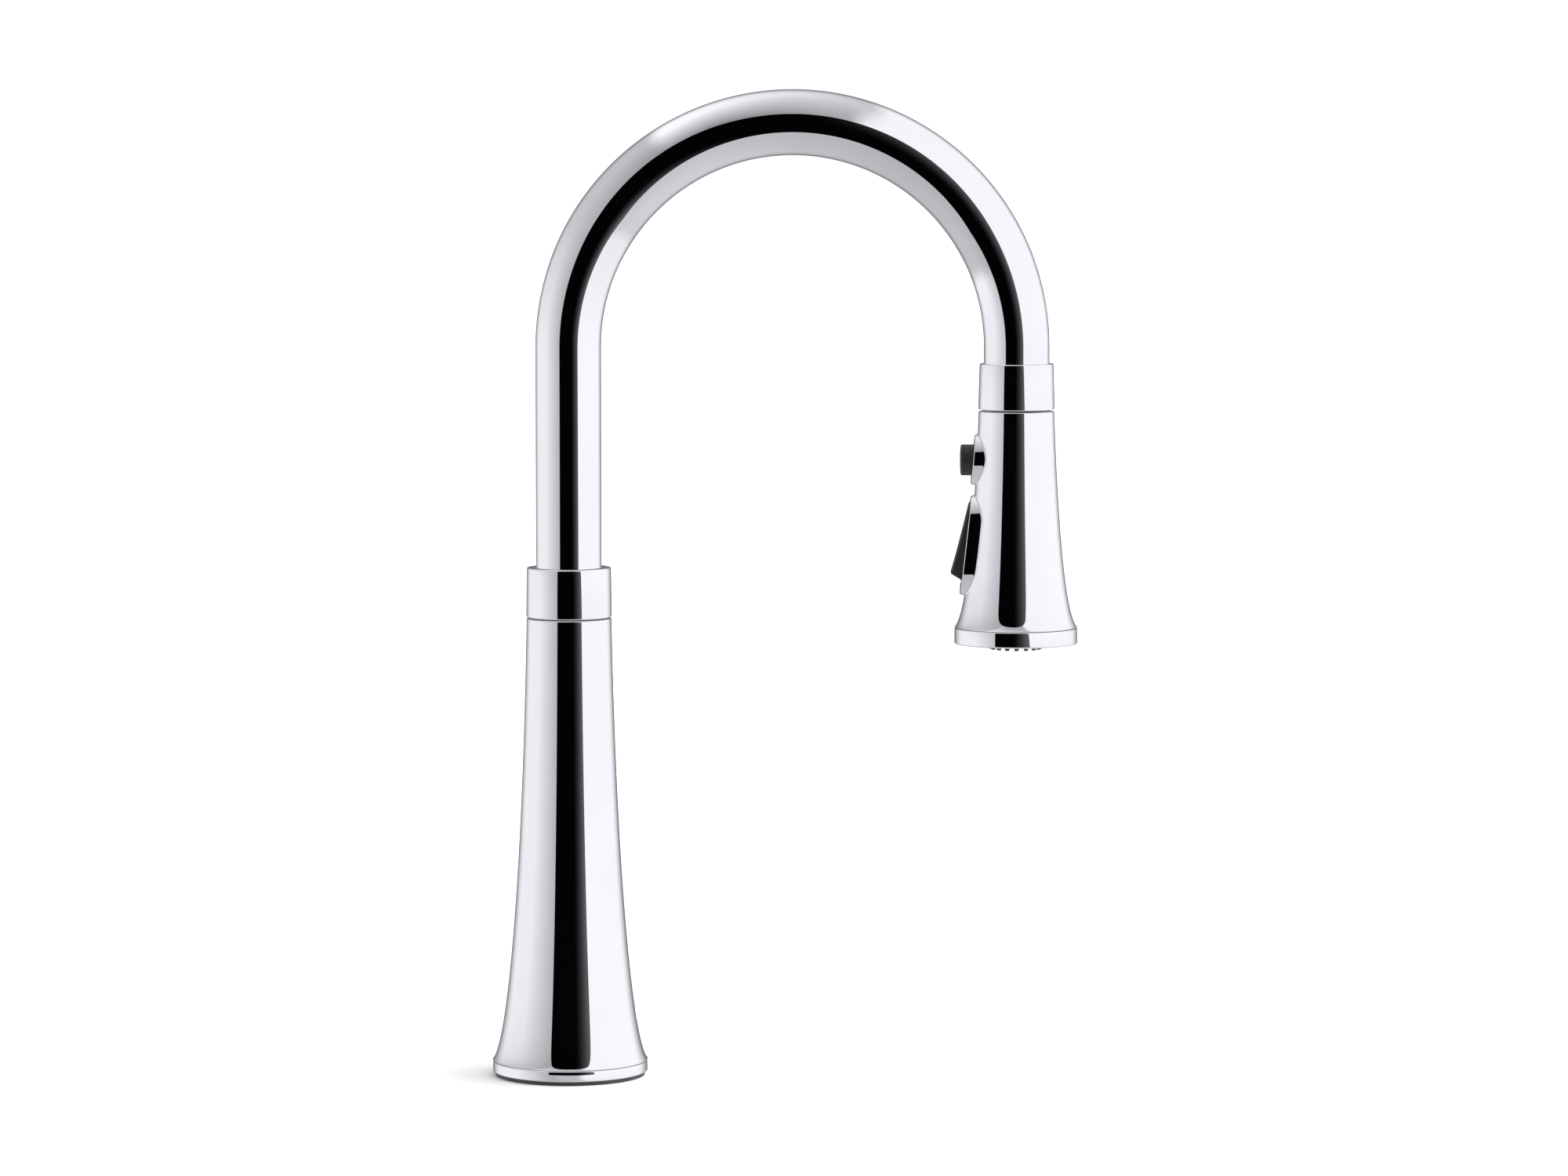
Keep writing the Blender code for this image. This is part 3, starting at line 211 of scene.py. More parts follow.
def make_braided_nylon():
    """Nylon yarn braided over a PEX hose: 16 flat bundles, 2.4 mm long, cross over and under."""
    material, tree, shader = start_material(
        "braided_nylon", **{"Metallic": 0.0, "Roughness": 0.5, "Sheen Weight": 0.3}
    )
    place = add(tree, "ShaderNodeTexCoord").outputs["UV"]
    where = add(tree, "ShaderNodeSeparateXYZ", {"Vector": place})
    # Each step of the weave has a name, a sum, and what goes into it: an earlier step or a number.
    steps = [
        ("bundle", "MULTIPLY", "round the hose", 16),
        ("pitch", "DIVIDE", "along the hose", 2.4 * MM),
        ("right", "ADD", "bundle", "pitch"),
        ("left", "SUBTRACT", "bundle", "pitch"),
    ]
    for run in ("right", "left"):
        steps += [
            (run + " cell", "FLOOR", run, 0),
            (run + " share", "FRACT", run, 0),
            (run + " off", "SUBTRACT", run + " share", 0.5),
            (run + " square", "MULTIPLY", run + " off", run + " off"),
            (run + " dip", "MULTIPLY", run + " square", 4),
            (run + " crown", "SUBTRACT", 1.0, run + " dip"),
        ]
    steps += [("cells", "ADD", "right cell", "left cell"), ("turn", "PINGPONG", "cells", 1.0)]
    done = {"round the hose": where.outputs["X"], "along the hose": where.outputs["Y"]}
    for result, operation, first, second in steps:
        node = add(
            tree, "ShaderNodeMath", {0: done.get(first, first), 1: done.get(second, second)},
            operation=operation,
        )
        done[result] = node.outputs[0]
    relief = add(
        tree, "ShaderNodeMix",
        {"Factor": done["turn"], "A": done["right crown"], "B": done["left crown"]},
        data_type="FLOAT",
    ).outputs["Result"]
    # The weave's height also sets its colour, as painted shade: dark grey in the dips where the
    # bundles pass under each other, light grey on their crowns.
    wire_surface(tree, shader, ("#3C3D3F", "#A9ABAD"), relief, relief, 0.8, 0.25 * MM)
    return material


chrome_plate = make_chrome_plate()
# Free-cutting brass (CW614N), turned at 0.12 mm a turn, drawn at 0.3 mm: warm yellow, light rings.
turned_brass = make_turned_metal("turned_brass", "#A8863F", "#CDAE68", 0.24, 0.3 * MM)
# Mild steel, zinc plated and passivated: grey with a soft bluish shine.
zinc_steel = make_turned_metal("zinc_steel", "#8E9194", "#B9BCC0", 0.28, 0.3 * MM)
# Sintered ferrite, ground flat: dark grey with a dull metal sheen.
ferrite = make_turned_metal("ferrite", "#3E4042", "#56585A", 0.45, 0.4 * MM)
# EPDM rubber, compression moulded: matt, nearly black.
epdm_rubber = make_moulded("epdm_rubber", "#232324", "#303031", 0.62, 0.4 * MM, 0.02 * MM)
# Grey silicone for the gasket and the nozzles: soft, with a low dull shine.
silicone = make_moulded("silicone", "#333436", "#3E3F41", 0.50, 0.5 * MM, 0.01 * MM)
# Charcoal ABS with a satin mould grain: broad soft highlights.
satin_abs = make_moulded(
    "satin_abs", "#1C1C1D", "#252525", 0.40, 0.35 * MM, 0.012 * MM,
    **{"IOR": 1.53, "Specular IOR Level": 0.35}
)
# Glass-filled nylon, black: the grain of short fibres shows as a fine mottle.
glass_nylon = make_moulded("glass_nylon", "#19191A", "#262627", 0.44, 0.3 * MM, 0.02 * MM)
# Acetal, natural white: waxy, with a little light passing under its skin.
acetal = make_moulded(
    "acetal", "#D6D6D2", "#E2E2DE", 0.34, 0.5 * MM, 0.01 * MM,
    **{"Subsurface Weight": 0.1, "Subsurface Scale": 0.002},
)
# Grey ABS of the cartridge housing, with a plain tool finish.
grey_abs = make_moulded("grey_abs", "#7E8082", "#8C8E90", 0.38, 0.4 * MM, 0.01 * MM)
braided_nylon = make_braided_nylon()

FINISHES = {
    "chrome": chrome_plate,
    "brass": turned_brass,
    "steel": zinc_steel,
    "black_rubber": epdm_rubber,
    "grey_rubber": silicone,
    "charcoal": satin_abs,
    "black_plastic": glass_nylon,
    "white_plastic": acetal,
    "grey_plastic": grey_abs,
    "braid": braided_nylon,
    "magnet": ferrite,
}


# ---------------------------------------------------------------- shape helpers


def angles(start, end, steps):
    """Evenly spaced angles, both ends included."""
    return [start + (end - start) * k / steps for k in range(steps + 1)]


def circle(sides):
    """The angles of a ring's points."""
    return [2 * math.pi * k / sides for k in range(sides)]


def add_mesh(name, points, faces):
    mesh = bpy.data.meshes.new(name)
    mesh.from_pydata([tuple(p) for p in points], [], faces)
    mesh.validate()
    shape = bmesh.new()
    shape.from_mesh(mesh)
    bmesh.ops.remove_doubles(shape, verts=shape.verts, dist=1e-7)
    bmesh.ops.recalc_face_normals(shape, faces=shape.faces)
    shape.to_mesh(mesh)
    shape.free()
    obj = bpy.data.objects.new(name, mesh)
    bpy.context.scene.collection.objects.link(obj)
    return obj


def soft_corners(outline, radius, steps=4):
    """Rounds the corners of a closed outline. A point may give its own radius as a third number."""
    rounded = []
    count = len(outline)
    for i, corner in enumerate(outline):
        here = Vector(corner[:2])
        before = Vector(outline[i - 1][:2]) - here
        after = Vector(outline[(i + 1) % count][:2]) - here
        wanted = corner[2] if len(corner) > 2 else radius
        if wanted <= 0 or before.length < 1e-9 or after.length < 1e-9:
            rounded.append(tuple(here))
            continue
        angle = before.angle(after)
        if angle > math.radians(176):
            rounded.append(tuple(here))
            continue
        room = 0.48 * min(before.length, after.length)
        trim = min(wanted / math.tan(angle / 2), room)
        radius_here = trim * math.tan(angle / 2)
        towards = (before.normalized() + after.normalized()).normalized()
        centre = here + towards * (radius_here / math.sin(angle / 2))
        first = here + before.normalized() * trim - centre
        last = here + after.normalized() * trim - centre
        sweep = first.angle_signed(last)
        for k in range(steps + 1):
            turned = first.copy()
            turned.rotate(Matrix.Rotation(-sweep * k / steps, 2))
            rounded.append(tuple(centre + turned))
    return rounded


def lathe(name, outline, place=(0, 0, 0), along="Z", sides=AROUND, radius=0.0, steps=4):
    """Turns a closed (radius, height) outline about an axis. Points at radius 0 close on it.

    A radius rounds the corners, apart from those that give their own.
    """
    if radius:
        outline = soft_corners(
            [(*point, 0) if point[0] <= 0 and len(point) < 3 else point for point in outline],
            radius, steps,
        )
    axes = {
        "Z": lambda r, h, c, s: (r * c, r * s, h),
        "Y": lambda r, h, c, s: (r * c, h, r * s),
        "-X": lambda r, h, c, s: (-h, r * c, r * s),
        "X": lambda r, h, c, s: (h, r * c, r * s),
    }
    points = []
    for a in circle(sides):
        c, s = math.cos(a), math.sin(a)
        points += [Vector(axes[along](r, h, c, s)) + Vector(place) for r, h in outline]
    count = len(outline)
    faces = []
    for i in range(sides):
        for k in range(count):
            n = (k + 1) % count
            if outline[k][0] <= 1e-9 and outline[n][0] <= 1e-9:
                continue
            a, b = i * count, ((i + 1) % sides) * count
            faces.append((a + k, a + n, b + n, b + k))
    return add_mesh(name, points, faces)


def skin(name, loops, closed=False):
    """Joins loops of equally many points into a skin. Its ends are filled unless it is closed."""
    count = len(loops[0])
    points = [p for loop in loops for p in loop]
    faces = []
    rows = len(loops) if closed else len(loops) - 1
    for i in range(rows):
        a, b = i * count, ((i + 1) % len(loops)) * count
        for k in range(count):
            n = (k + 1) % count
            faces.append((a + k, a + n, b + n, b + k))
    if not closed:
        faces.append(tuple(range(count))[::-1])
        faces.append(tuple((len(loops) - 1) * count + k for k in range(count)))
    return add_mesh(name, points, faces)


def boolean(obj, other, operation="DIFFERENCE"):
    """Applies one Boolean and takes the other object away."""
    step = obj.modifiers.new("step", "BOOLEAN")
    step.operation = operation
    step.solver = "EXACT"
    step.object = other
    bpy.context.view_layer.update()
    made = bpy.data.meshes.new_from_object(
        obj.evaluated_get(bpy.context.evaluated_depsgraph_get())
    )
    obj.modifiers.clear()
    old = obj.data
    obj.data = made
    made.name = obj.name
    bpy.data.meshes.remove(old)
    bpy.data.objects.remove(other)
    return obj


def drill(obj, radius, start, end, **placing):
    """Cuts a round hole from start to end, measured along its axis."""
    tool = [(0, start), (radius, start), (radius, end), (0, end)]
    return boolean(obj, lathe("cutter", tool, **placing))


def smooth(obj, angle=35):
    """Shades smooth, with edges sharper than the angle kept."""
    mesh = obj.data
    for polygon in mesh.polygons:
        polygon.use_smooth = True
    mesh.set_sharp_from_angle(angle=math.radians(angle))
    return obj


def true_normals(obj, radius_at, centre=(0, 0), within=0.03 * MM):
    """Gives points on a turned outer surface that surface's own normals, so cuts don't dent it.

    radius_at(z) is the surface's radius at a height.
    """
    mesh = obj.data
    loops = np.zeros(len(mesh.loops) * 3, np.float32)
    mesh.corner_normals.foreach_get("vector", loops)
    normals = loops.reshape(-1, 3).copy()
    step = 0.05 * MM
    exact = {}
    for vertex in mesh.vertices:
        x, y, z = vertex.co.x - centre[0], vertex.co.y - centre[1], vertex.co.z
        r = math.hypot(x, y)
        here = radius_at(z)
        if here is None or abs(r - here) > within or r < 1e-6:
            continue
        upper, lower = radius_at(z + step), radius_at(z - step)
        upper, upper_z = (here, z) if upper is None else (upper, z + step)
        lower, lower_z = (here, z) if lower is None else (lower, z - step)
        slope = (upper - lower) / max(upper_z - lower_z, 1e-9)
        exact[vertex.index] = Vector((x / r, y / r, -slope)).normalized()
    for polygon in mesh.polygons:
        for k in polygon.loop_indices:
            wanted = exact.get(mesh.loops[k].vertex_index)
            if wanted is not None and wanted.dot(polygon.normal) > 0.9:
                normals[k] = wanted
    mesh.normals_split_custom_set([tuple(n) for n in normals])
    return obj


def bezier(start, leave, arrive, end, steps):
    points = []
    for i in range(steps + 1):
        t = i / steps
        shares = ((1 - t) ** 3, 3 * t * (1 - t) ** 2, 3 * t * t * (1 - t), t**3)
        corners = (start, leave, arrive, end)
        points.append(tuple(sum(s * c[k] for s, c in zip(shares, corners)) for k in (0, 1)))
    return points


def radius_of(outline):
    """A function that gives an outline's radius at a height, or None beyond its ends."""
    heights = np.array([h for _, h in outline][::-1])
    radii = np.array([r for r, _ in outline][::-1])

    def radius_at(z):
        if not heights[0] - 1e-6 <= z <= heights[-1] + 1e-6:
            return None
        return float(np.interp(z, heights, radii))

    return radius_at


def finish_piece(obj, body, finish, *nodes, angle=35):
    """Gives a piece its material, its body and the nodes that it replaces."""
    obj.data.materials.clear()
    obj.data.materials.append(FINISHES[finish])
    if not obj.data.has_custom_normals:
        smooth(obj, angle)
    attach(obj, body)
    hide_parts(*nodes)
    return obj


def plain_ring(name, node, body, finish, bore, radius=0.4 * MM, place=(0, 0, 0)):
    """A ring with the height and outer radius of its node, and a bore of its own."""
    low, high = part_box(node)
    outline = [(high.y, high.z), (high.y, low.z), (bore, low.z), (bore, high.z)]
    ring = lathe(name, outline, place=place, radius=radius)
    return finish_piece(ring, body, finish, node)


# ---------------------------------------------------------------- camera, light and floor

CAMERA_PLACE = (0.0985, -2.7908, 0.4620)
CAMERA_DIP = 4.858


def set_camera():
    camera = bpy.data.cameras.new("camera")
    camera.lens = 140.4
    camera.sensor_width = 36
    camera.clip_end = 50
    holder = bpy.data.objects.new("camera", camera)
    holder.location = CAMERA_PLACE
    holder.rotation_euler = (math.radians(90 - CAMERA_DIP), 0, 0)
    bpy.context.scene.collection.objects.link(holder)
    bpy.context.scene.camera = holder


# What the chrome sees of the studio, by bearing round the camera's axis in degrees, right 0, up 90
# and left 180: a big soft box on the right with crisp ends, one on the left that dims towards the
# front, a banner overhead that brightens towards the back, and grey paper below.
NEAR_LEVELS = [
    (-180, 0.53), (-155, 0.51), (-90, 0.58), (-45, 0.70), (-37, 0.76), (-34, 1.06), (0, 1.16),
    (70, 1.13), (75, 0.46), (90, 0.37), (110, 0.24), (125, 0.33), (150, 0.51), (180, 0.53),
]
FAR_LEVELS = [
    (-180, 1.04), (-158, 1.10), (-154, 0.66), (-120, 0.60), (-90, 0.66), (-60, 0.78),
    (-38, 0.78), (-34, 1.02), (0, 1.18), (66, 1.13), (71, 0.68), (90, 0.95), (110, 1.15),
    (123, 1.20), (127, 0.63), (150, 0.68), (168, 0.90), (180, 1.04),
]
# Angles from the way to the camera, in degrees. The near levels hold up to the first, and the far
# levels from the second overhead and the third at the sides.
NEAR_END, FAR_OVERHEAD, FAR_SIDE = 27, 112, 84
# The studio's dim front and back: where each starts, where it is whole, and its level.
DIM_ENDS = ((26, 12, 0.60), (122, 168, 0.20))
BACKDROP_LEVEL = 1.1


def set_room():
    """A light tent: the camera sees it white, and the chrome sees its soft boxes and greys."""
    world = bpy.data.worlds.new("tent")
    bpy.context.scene.world = world
    tree = empty_tree(world)
    way = add(tree, "ShaderNodeTexCoord").outputs["Generated"]
    where = add(tree, "ShaderNodeSeparateXYZ", {"Vector": way})
    right, back, up = (where.outputs[axis] for axis in "XYZ")
    from_back = add(tree, "ShaderNodeMath", {0: back}, operation="ARCCOSINE").outputs[0]
    from_front = add(
        tree, "ShaderNodeMath", {0: math.pi, 1: from_back}, operation="SUBTRACT"
    ).outputs[0]
    bearing = add(tree, "ShaderNodeMath", {0: up, 1: right}, operation="ARCTAN2").outputs[0]
    turn = add(
        tree, "ShaderNodeMapRange", {"Value": bearing, "From Min": -math.pi, "From Max": math.pi}
    ).outputs[0]
    sideways = add(tree, "ShaderNodeMath", {0: bearing}, operation="COSINE").outputs[0]
    width = add(tree, "ShaderNodeMath", {0: sideways}, operation="ABSOLUTE").outputs[0]
    far = add(
        tree, "ShaderNodeMapRange",
        {"Value": width, "To Min": math.radians(FAR_OVERHEAD), "To Max": math.radians(FAR_SIDE)},
    ).outputs[0]
    share = add(
        tree, "ShaderNodeMapRange",
        {"Value": from_front, "From Min": math.radians(NEAR_END), "From Max": far},
    ).outputs[0]
    levels = {0: share}
    for socket, stops in ((6, NEAR_LEVELS), (7, FAR_LEVELS)):
        ramp = add(tree, "ShaderNodeValToRGB", {"Fac": turn})
        elements = ramp.color_ramp.elements
        for degrees, _ in stops[1:-1]:
            elements.new((degrees + 180) / 360)
        for element, (_, level) in zip(elements, stops):
            element.color = (level, level, level, 1)
        levels[socket] = ramp.outputs["Color"]
    room = add(tree, "ShaderNodeMix", levels, data_type="RGBA").outputs[2]
    for start, whole, level in DIM_ENDS:
        dim = add(
            tree, "ShaderNodeMapRange",
            {"Value": from_front, "From Min": math.radians(start), "From Max": math.radians(whole)},
            interpolation_type="SMOOTHSTEP",
        ).outputs[0]
        room = add(
            tree, "ShaderNodeMix", {0: dim, 6: room, 7: (level, level, level, 1)}, data_type="RGBA"
        ).outputs[2]
    seen = add(tree, "ShaderNodeBackground", {"Color": (1, 1, 1, 1), "Strength": BACKDROP_LEVEL})
    felt = add(tree, "ShaderNodeBackground", {"Color": room})
    path = add(tree, "ShaderNodeLightPath").outputs["Is Camera Ray"]
    mixed = add(tree, "ShaderNodeMixShader", {0: path, 1: felt.outputs[0], 2: seen.outputs[0]})
    add(tree, "ShaderNodeOutputWorld", {"Surface": mixed.outputs[0]})


def set_card():
    """A black card in front, seen only in the chrome: its stripe has one crisp and one soft edge."""
    left, right, foot, top, distance, corner = -0.37, 0.44, -0.03, 0.82, 0.68, 0.32
    foot_left, foot_right = left - 0.02, right + 0.08
    fade_start, darkest, lightest = 0.12, 0.001, 0.125
    bends = angles(0, math.pi / 2, 16)
    outline = [(foot_left, foot), (foot_right, foot)]
    outline += [
        (right - corner + corner * math.cos(a), top - corner + corner * math.sin(a)) for a in bends
    ]
    outline += [
        (left + corner - corner * math.sin(a), top - corner + corner * math.cos(a)) for a in bends
    ]
    card = add_mesh(
        "black_card", [(x, -distance, z) for x, z in outline], [tuple(range(len(outline)))]
    )
    material = bpy.data.materials.new("black_card")
    tree = empty_tree(material)
    place = add(tree, "ShaderNodeTexCoord").outputs["Object"]
    where = add(tree, "ShaderNodeSeparateXYZ", {"Vector": place})
    fade = add(
        tree, "ShaderNodeMapRange",
        {"Value": where.outputs["X"], "From Min": fade_start, "From Max": right},
    )
    glow = add(tree, "ShaderNodeMath", {0: fade.outputs[0], 1: 2.0}, operation="POWER")
    level = add(
        tree, "ShaderNodeMapRange",
        {"Value": glow.outputs[0], "To Min": darkest, "To Max": lightest},
    )
    dark = add(tree, "ShaderNodeEmission", {"Strength": level.outputs[0]})
    add(tree, "ShaderNodeOutputMaterial", {"Surface": dark.outputs[0]})
    card.data.materials.append(material)
    card.visible_camera = False
    card.visible_diffuse = False
    card.visible_shadow = False


def set_floor():
    """Pale seamless paper, lit nearly to white; clear from below, so that the under side shows."""
    half = 12
    floor = add_mesh(
        "paper_floor", [(-half, -half, 0), (half, -half, 0), (half, half, 0), (-half, half, 0)],
        [(0, 1, 2, 3)],
    )
    material = bpy.data.materials.new("seamless_paper")
    tree = empty_tree(material)
    paper = add(tree, "ShaderNodeBsdfDiffuse", {"Color": linear("#F6F6F6")}).outputs[0]
    clear = add(tree, "ShaderNodeBsdfTransparent").outputs[0]
    back = add(tree, "ShaderNodeNewGeometry").outputs["Backfacing"]
    mixed = add(tree, "ShaderNodeMixShader", {0: back, 1: paper, 2: clear})
    add(tree, "ShaderNodeOutputMaterial", {"Surface": mixed.outputs[0]})
    floor.data.materials.append(material)
    floor.visible_glossy = False
    lamp = bpy.data.lights.new("soft_lamp", "SUN")
    lamp.energy = 3.0
    lamp.angle = math.radians(80)
    holder = bpy.data.objects.new("soft_lamp", lamp)
    holder.rotation_euler = (math.radians(-8), math.radians(40), 0)
    holder.visible_glossy = False
    bpy.context.scene.collection.objects.link(holder)


set_camera()
set_room()
set_card()
set_floor()
bpy.context.scene.view_settings.view_transform = "Standard"


# ---------------------------------------------------------------- base and column


def make_base():
    radius, bore, draft = base_high.x, 17 * MM, 0.1 * MM
    ring = lathe(
        "foot_ring",
        [(radius - draft, base_high.z), (radius, base_low.z), (bore, base_low.z),
         (bore, base_high.z)],
        radius=0.5 * MM,
    )
    finish_piece(ring, "base", "chrome", "base_ring")
    plain_ring("foot_gasket", "base_gasket", "base", "grey_rubber", 16.4 * MM)


def column_side(steps=96):
    height = column_high.z - column_low.z
    foot = column_high.x
    return bezier(
        (COLUMN_TOP_RADIUS, column_high.z),
        (COLUMN_TOP_RADIUS + 2.0 * MM, column_high.z - 0.529 * height),
        (foot - 7.5 * MM, column_low.z + 0.049 * height),
        (foot, column_low.z),
        steps,
    )


def rounded_shell(side, wall, lip_bore, lip, edge):
    """A shell's outline: its outer side with small round edges, and its inside with a lip."""
    top, foot = side[0][1], side[-1][1]
    outer = [(r, h) for r, h in side if foot + edge < h < top - edge]
    bends = angles(0, math.pi / 2, 4)
    shoulder = [
        (side[0][0] - edge * (1 - math.sin(a)), top - edge * (1 - math.cos(a)))
        for a in bends
    ]
    toe = [
        (side[-1][0] - edge * (1 - math.cos(a)), foot + edge * (1 - math.sin(a)))
        for a in bends[1:]
    ]
    inner = [(r - wall, h) for r, h in side if foot < h < top - lip - 1 * MM][::-3]
    inside = [(side[-1][0] - wall, foot)] + inner + [
        (side[0][0] - wall, top - lip), (lip_bore, top - lip), (lip_bore, top)
    ]
    return shoulder + outer + toe + inside


def make_column():
    side = column_side()
    shell = lathe(
        "column_tube", rounded_shell(side, 1.8 * MM, 13.3 * MM, 2.2 * MM, 0.35 * MM)
    )
    drill(shell, HUB_BORE, 60 * MM, 6 * MM, place=(0, 0, HUB_HEIGHT), along="Y", sides=96)
    screw_low, screw_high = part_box("shell_screw")
    screw_height = (screw_low.z + screw_high.z) / 2
    in_side = dict(place=(0, 0, screw_height), along="X", sides=48)
    drill(shell, 2.4 * MM, 45 * MM, 20 * MM, **in_side)
    smooth(shell)
    true_normals(shell, radius_of(side))
    finish_piece(shell, "base", "chrome", "column_shell")

    face, floor = screw_high.x, screw_high.x - 2 * MM
    socket, radius = 1.1 * MM, 2 * MM
    screw = lathe(
        "grub_screw",
        [(0, floor), (socket, floor), (socket, face), (radius, face), (radius, screw_low.x),
         (0, screw_low.x)],
        radius=0.2 * MM, **in_side,
    )
    finish_piece(screw, "base", "steel", "shell_screw")


def make_swivel():
    bore = 12.6 * MM
    plain_ring("swivel_seam", "swivel_washer", "base", "black_plastic", bore, 0.2 * MM)
    # A thin skirt hangs over the washer, so that only a fine seam shows.
    radius = collar_high.x
    skirt_bore = washer_high.x + 0.3 * MM
    skirt_foot = collar_low.z - 0.7 * MM
    shelf = collar_low.z + 1.8 * MM
    collar = lathe(
        "spout_collar",
        [(radius - 0.3 * MM, collar_high.z, 0.7 * MM), (radius, skirt_foot, 0.4 * MM),
         (skirt_bore, skirt_foot, 0.1 * MM), (skirt_bore, collar_low.z, 0),
         (bore, collar_low.z, 0), (bore, shelf, 0), (TUBE_SOCKET, shelf, 0),
         (TUBE_SOCKET, collar_high.z, 0.3 * MM)],
        radius=0.5 * MM, steps=5,
    )
    finish_piece(collar, "spout", "chrome", "swivel_collar")


# ---------------------------------------------------------------- spout


def arch_line(low, high, steps):
    """Points and directions along the spout's centre line, column side first."""
    line = []
    rise = 12
    for i in range(rise):
        line.append((Vector((0, 0, low + (ARCH_HEIGHT - low) * i / rise)), Vector((0, 0, 1))))
    for i in range(steps + 1):
        a = math.pi * (1 - i / steps)
        height = ARCH_HEIGHT + ARCH_RADIUS * math.sin(a)
        centre = Vector((ARCH_RADIUS * (1 + math.cos(a)), 0, height))
        line.append((centre, Vector((math.sin(a), 0, -math.cos(a)))))
    for i in range(1, rise + 1):
        drop = ARCH_HEIGHT + (high - ARCH_HEIGHT) * i / rise
        line.append((Vector((REACH, 0, drop)), Vector((0, 0, -1))))
    return line


def around(centre, direction, radius, sides):
    """A ring of points round a centre line that lies in the XZ plane."""
    side = Vector((0, 1, 0))
    up = direction.cross(side)
    return [centre + radius * (math.cos(a) * side + math.sin(a) * up) for a in circle(sides)]


def make_spout_tube():
    line = arch_line(tube_low.z, dock_low.z + 2.4 * MM, 128)
    sides = 112
    edge = 0.4 * MM
    outer = [around(c, d, TUBE_RADIUS, sides) for c, d in line]
    inner = [around(c, d, TUBE_RADIUS - TUBE_WALL, sides) for c, d in line[::-1]]
    last, way = line[-1]
    lip = [
        around(last + way * (math.sin(a) - 1) * edge, way,
               TUBE_RADIUS - edge + edge * math.cos(a), sides)
        for a in angles(0, math.pi / 2, 4)
    ]
    tube = skin("arched_spout", outer[:-1] + lip + inner, closed=True)
    finish_piece(tube, "spout", "chrome", "spout_tube")


def make_dock():
    top_radius, bore, shelf = TUBE_RADIUS + 1.9 * MM, 12.5 * MM, dock_low.z + 2.1 * MM
    collar = lathe(
        "dock_sleeve",
        [(top_radius, dock_high.z, 0.5 * MM), (dock_high.y, dock_low.z, 0.4 * MM),
         (bore, dock_low.z, 0.4 * MM), (bore, shelf, 0), (TUBE_SOCKET, shelf, 0),
         (TUBE_SOCKET, dock_high.z, 0.3 * MM)],
        place=HEAD, radius=0.4 * MM, steps=5,
    )
    finish_piece(collar, "spout", "chrome", "dock_collar")
    low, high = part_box("hose_guide")
    guide = lathe(
        "guide_funnel",
        [(high.y, high.z), (high.y, low.z), (12.4 * MM, low.z), (11.2 * MM, high.z)],
        place=HEAD, radius=0.3 * MM,
    )
    finish_piece(guide, "spout", "white_plastic", "hose_guide")
    plain_ring("dock_ring_magnet", "dock_magnet", "spout", "magnet", 9.2 * MM, 0.3 * MM, HEAD)


# ---------------------------------------------------------------- spray head


def head_side(steps=96):
    height = head_high.z - head_low.z
    foot = head_high.y
    return bezier(
        (HEAD_TOP_RADIUS, head_high.z),
        (HEAD_TOP_RADIUS + 0.3 * MM, head_high.z - 0.060 * height),
        (foot - 8.1 * MM, head_low.z + 0.092 * height),
        (foot, head_low.z),
        steps,
    )


def stadium(half_width, length, steps=24):
    """A long outline with round ends: (side, height) points with their outward directions."""
    half = length / 2 - half_width
    points = []
    for top, start in ((half, 0), (-half, math.pi)):
        for k in range(steps + 1):
            a = start + math.pi * k / steps
            out = Vector((math.cos(a), math.sin(a)))
            points.append((Vector((0, top)) + half_width * out, out))
    if half < 1e-6:
        return points[:-1]
    straight = 10
    filled = []
    for i, (point, out) in enumerate(points):
        filled.append((point, out))
        following, next_out = points[(i + 1) % len(points)]
        if out.dot(next_out) > 0.9999 and (following - point).length > 1 * MM:
            for k in range(1, straight):
                filled.append((point.lerp(following, k / straight), out))
    return filled


def pad(name, outline, middle, reach, tilt, edge, fillet):
    """A raised pad on the head's -X side, blending into it.

    Its face stands at reach from the axis at the middle height, and leans by tilt, further out
    towards the foot. Loops run from its hidden back, up the blend and the wall, to the face.
    """
    radius_at = radius_of(head_side())

    def surface(side, height):
        radius = radius_at(min(max(height, head_low.z), head_high.z))
        return math.sqrt(max(radius * radius - side * side, 0.0))

    def face(height):
        return reach - math.tan(tilt) * (height - middle)

    loops = []
    for share in (0.15, 0.5, 0.8):
        loops.append([
            Vector((REACH - surface(p.x * share, middle + p.y * share) + 1.0 * MM,
                    p.x * share, middle + p.y * share))
            for p, _ in outline
        ])
    for offset, sunk in ((fillet * 0.6, 1.0 * MM), (fillet * 1.02, 0.5 * MM)):
        flats = [point + out * offset for point, out in outline]
        loops.append([
            Vector((REACH - (surface(p.x, middle + p.y) - sunk), p.x, middle + p.y)) for p in flats
        ])
    rungs = 9
    for k in range(rungs + 1):
        angle = math.radians(4) + math.radians(86) * k / rungs
        share = 1 - math.sin(angle)
        lift = 1 - math.cos(angle)
        made = []
        for point, out in outline:
            wall = face(middle + point.y) - edge - surface(point.x, middle + point.y)
            room = max(min(fillet, 0.9 * wall), 0.2 * MM)
            flat = point + out * room * share
            height = middle + flat.y
            base = surface(flat.x, height) - 0.012 * MM
            made.append(Vector((REACH - base - room * lift, flat.x, height)))
        loops.append(made)
    for angle in angles(0, math.pi / 2, 5):
        inset = edge * (1 - math.cos(angle))
        lift = edge * (1 - math.sin(angle))
        made = []
        for point, out in outline:
            flat = point - out * inset
            height = middle + flat.y
            made.append(Vector((REACH - face(height) + lift, flat.x, height)))
        loops.append(made)
    for share in (0.8, 0.5, 0.15):
        made = []
        for point, _ in outline:
            flat = point * share
            made.append(Vector((REACH - face(middle + flat.y), flat.x, middle + flat.y)))
        loops.append(made)
    return skin(name, loops)


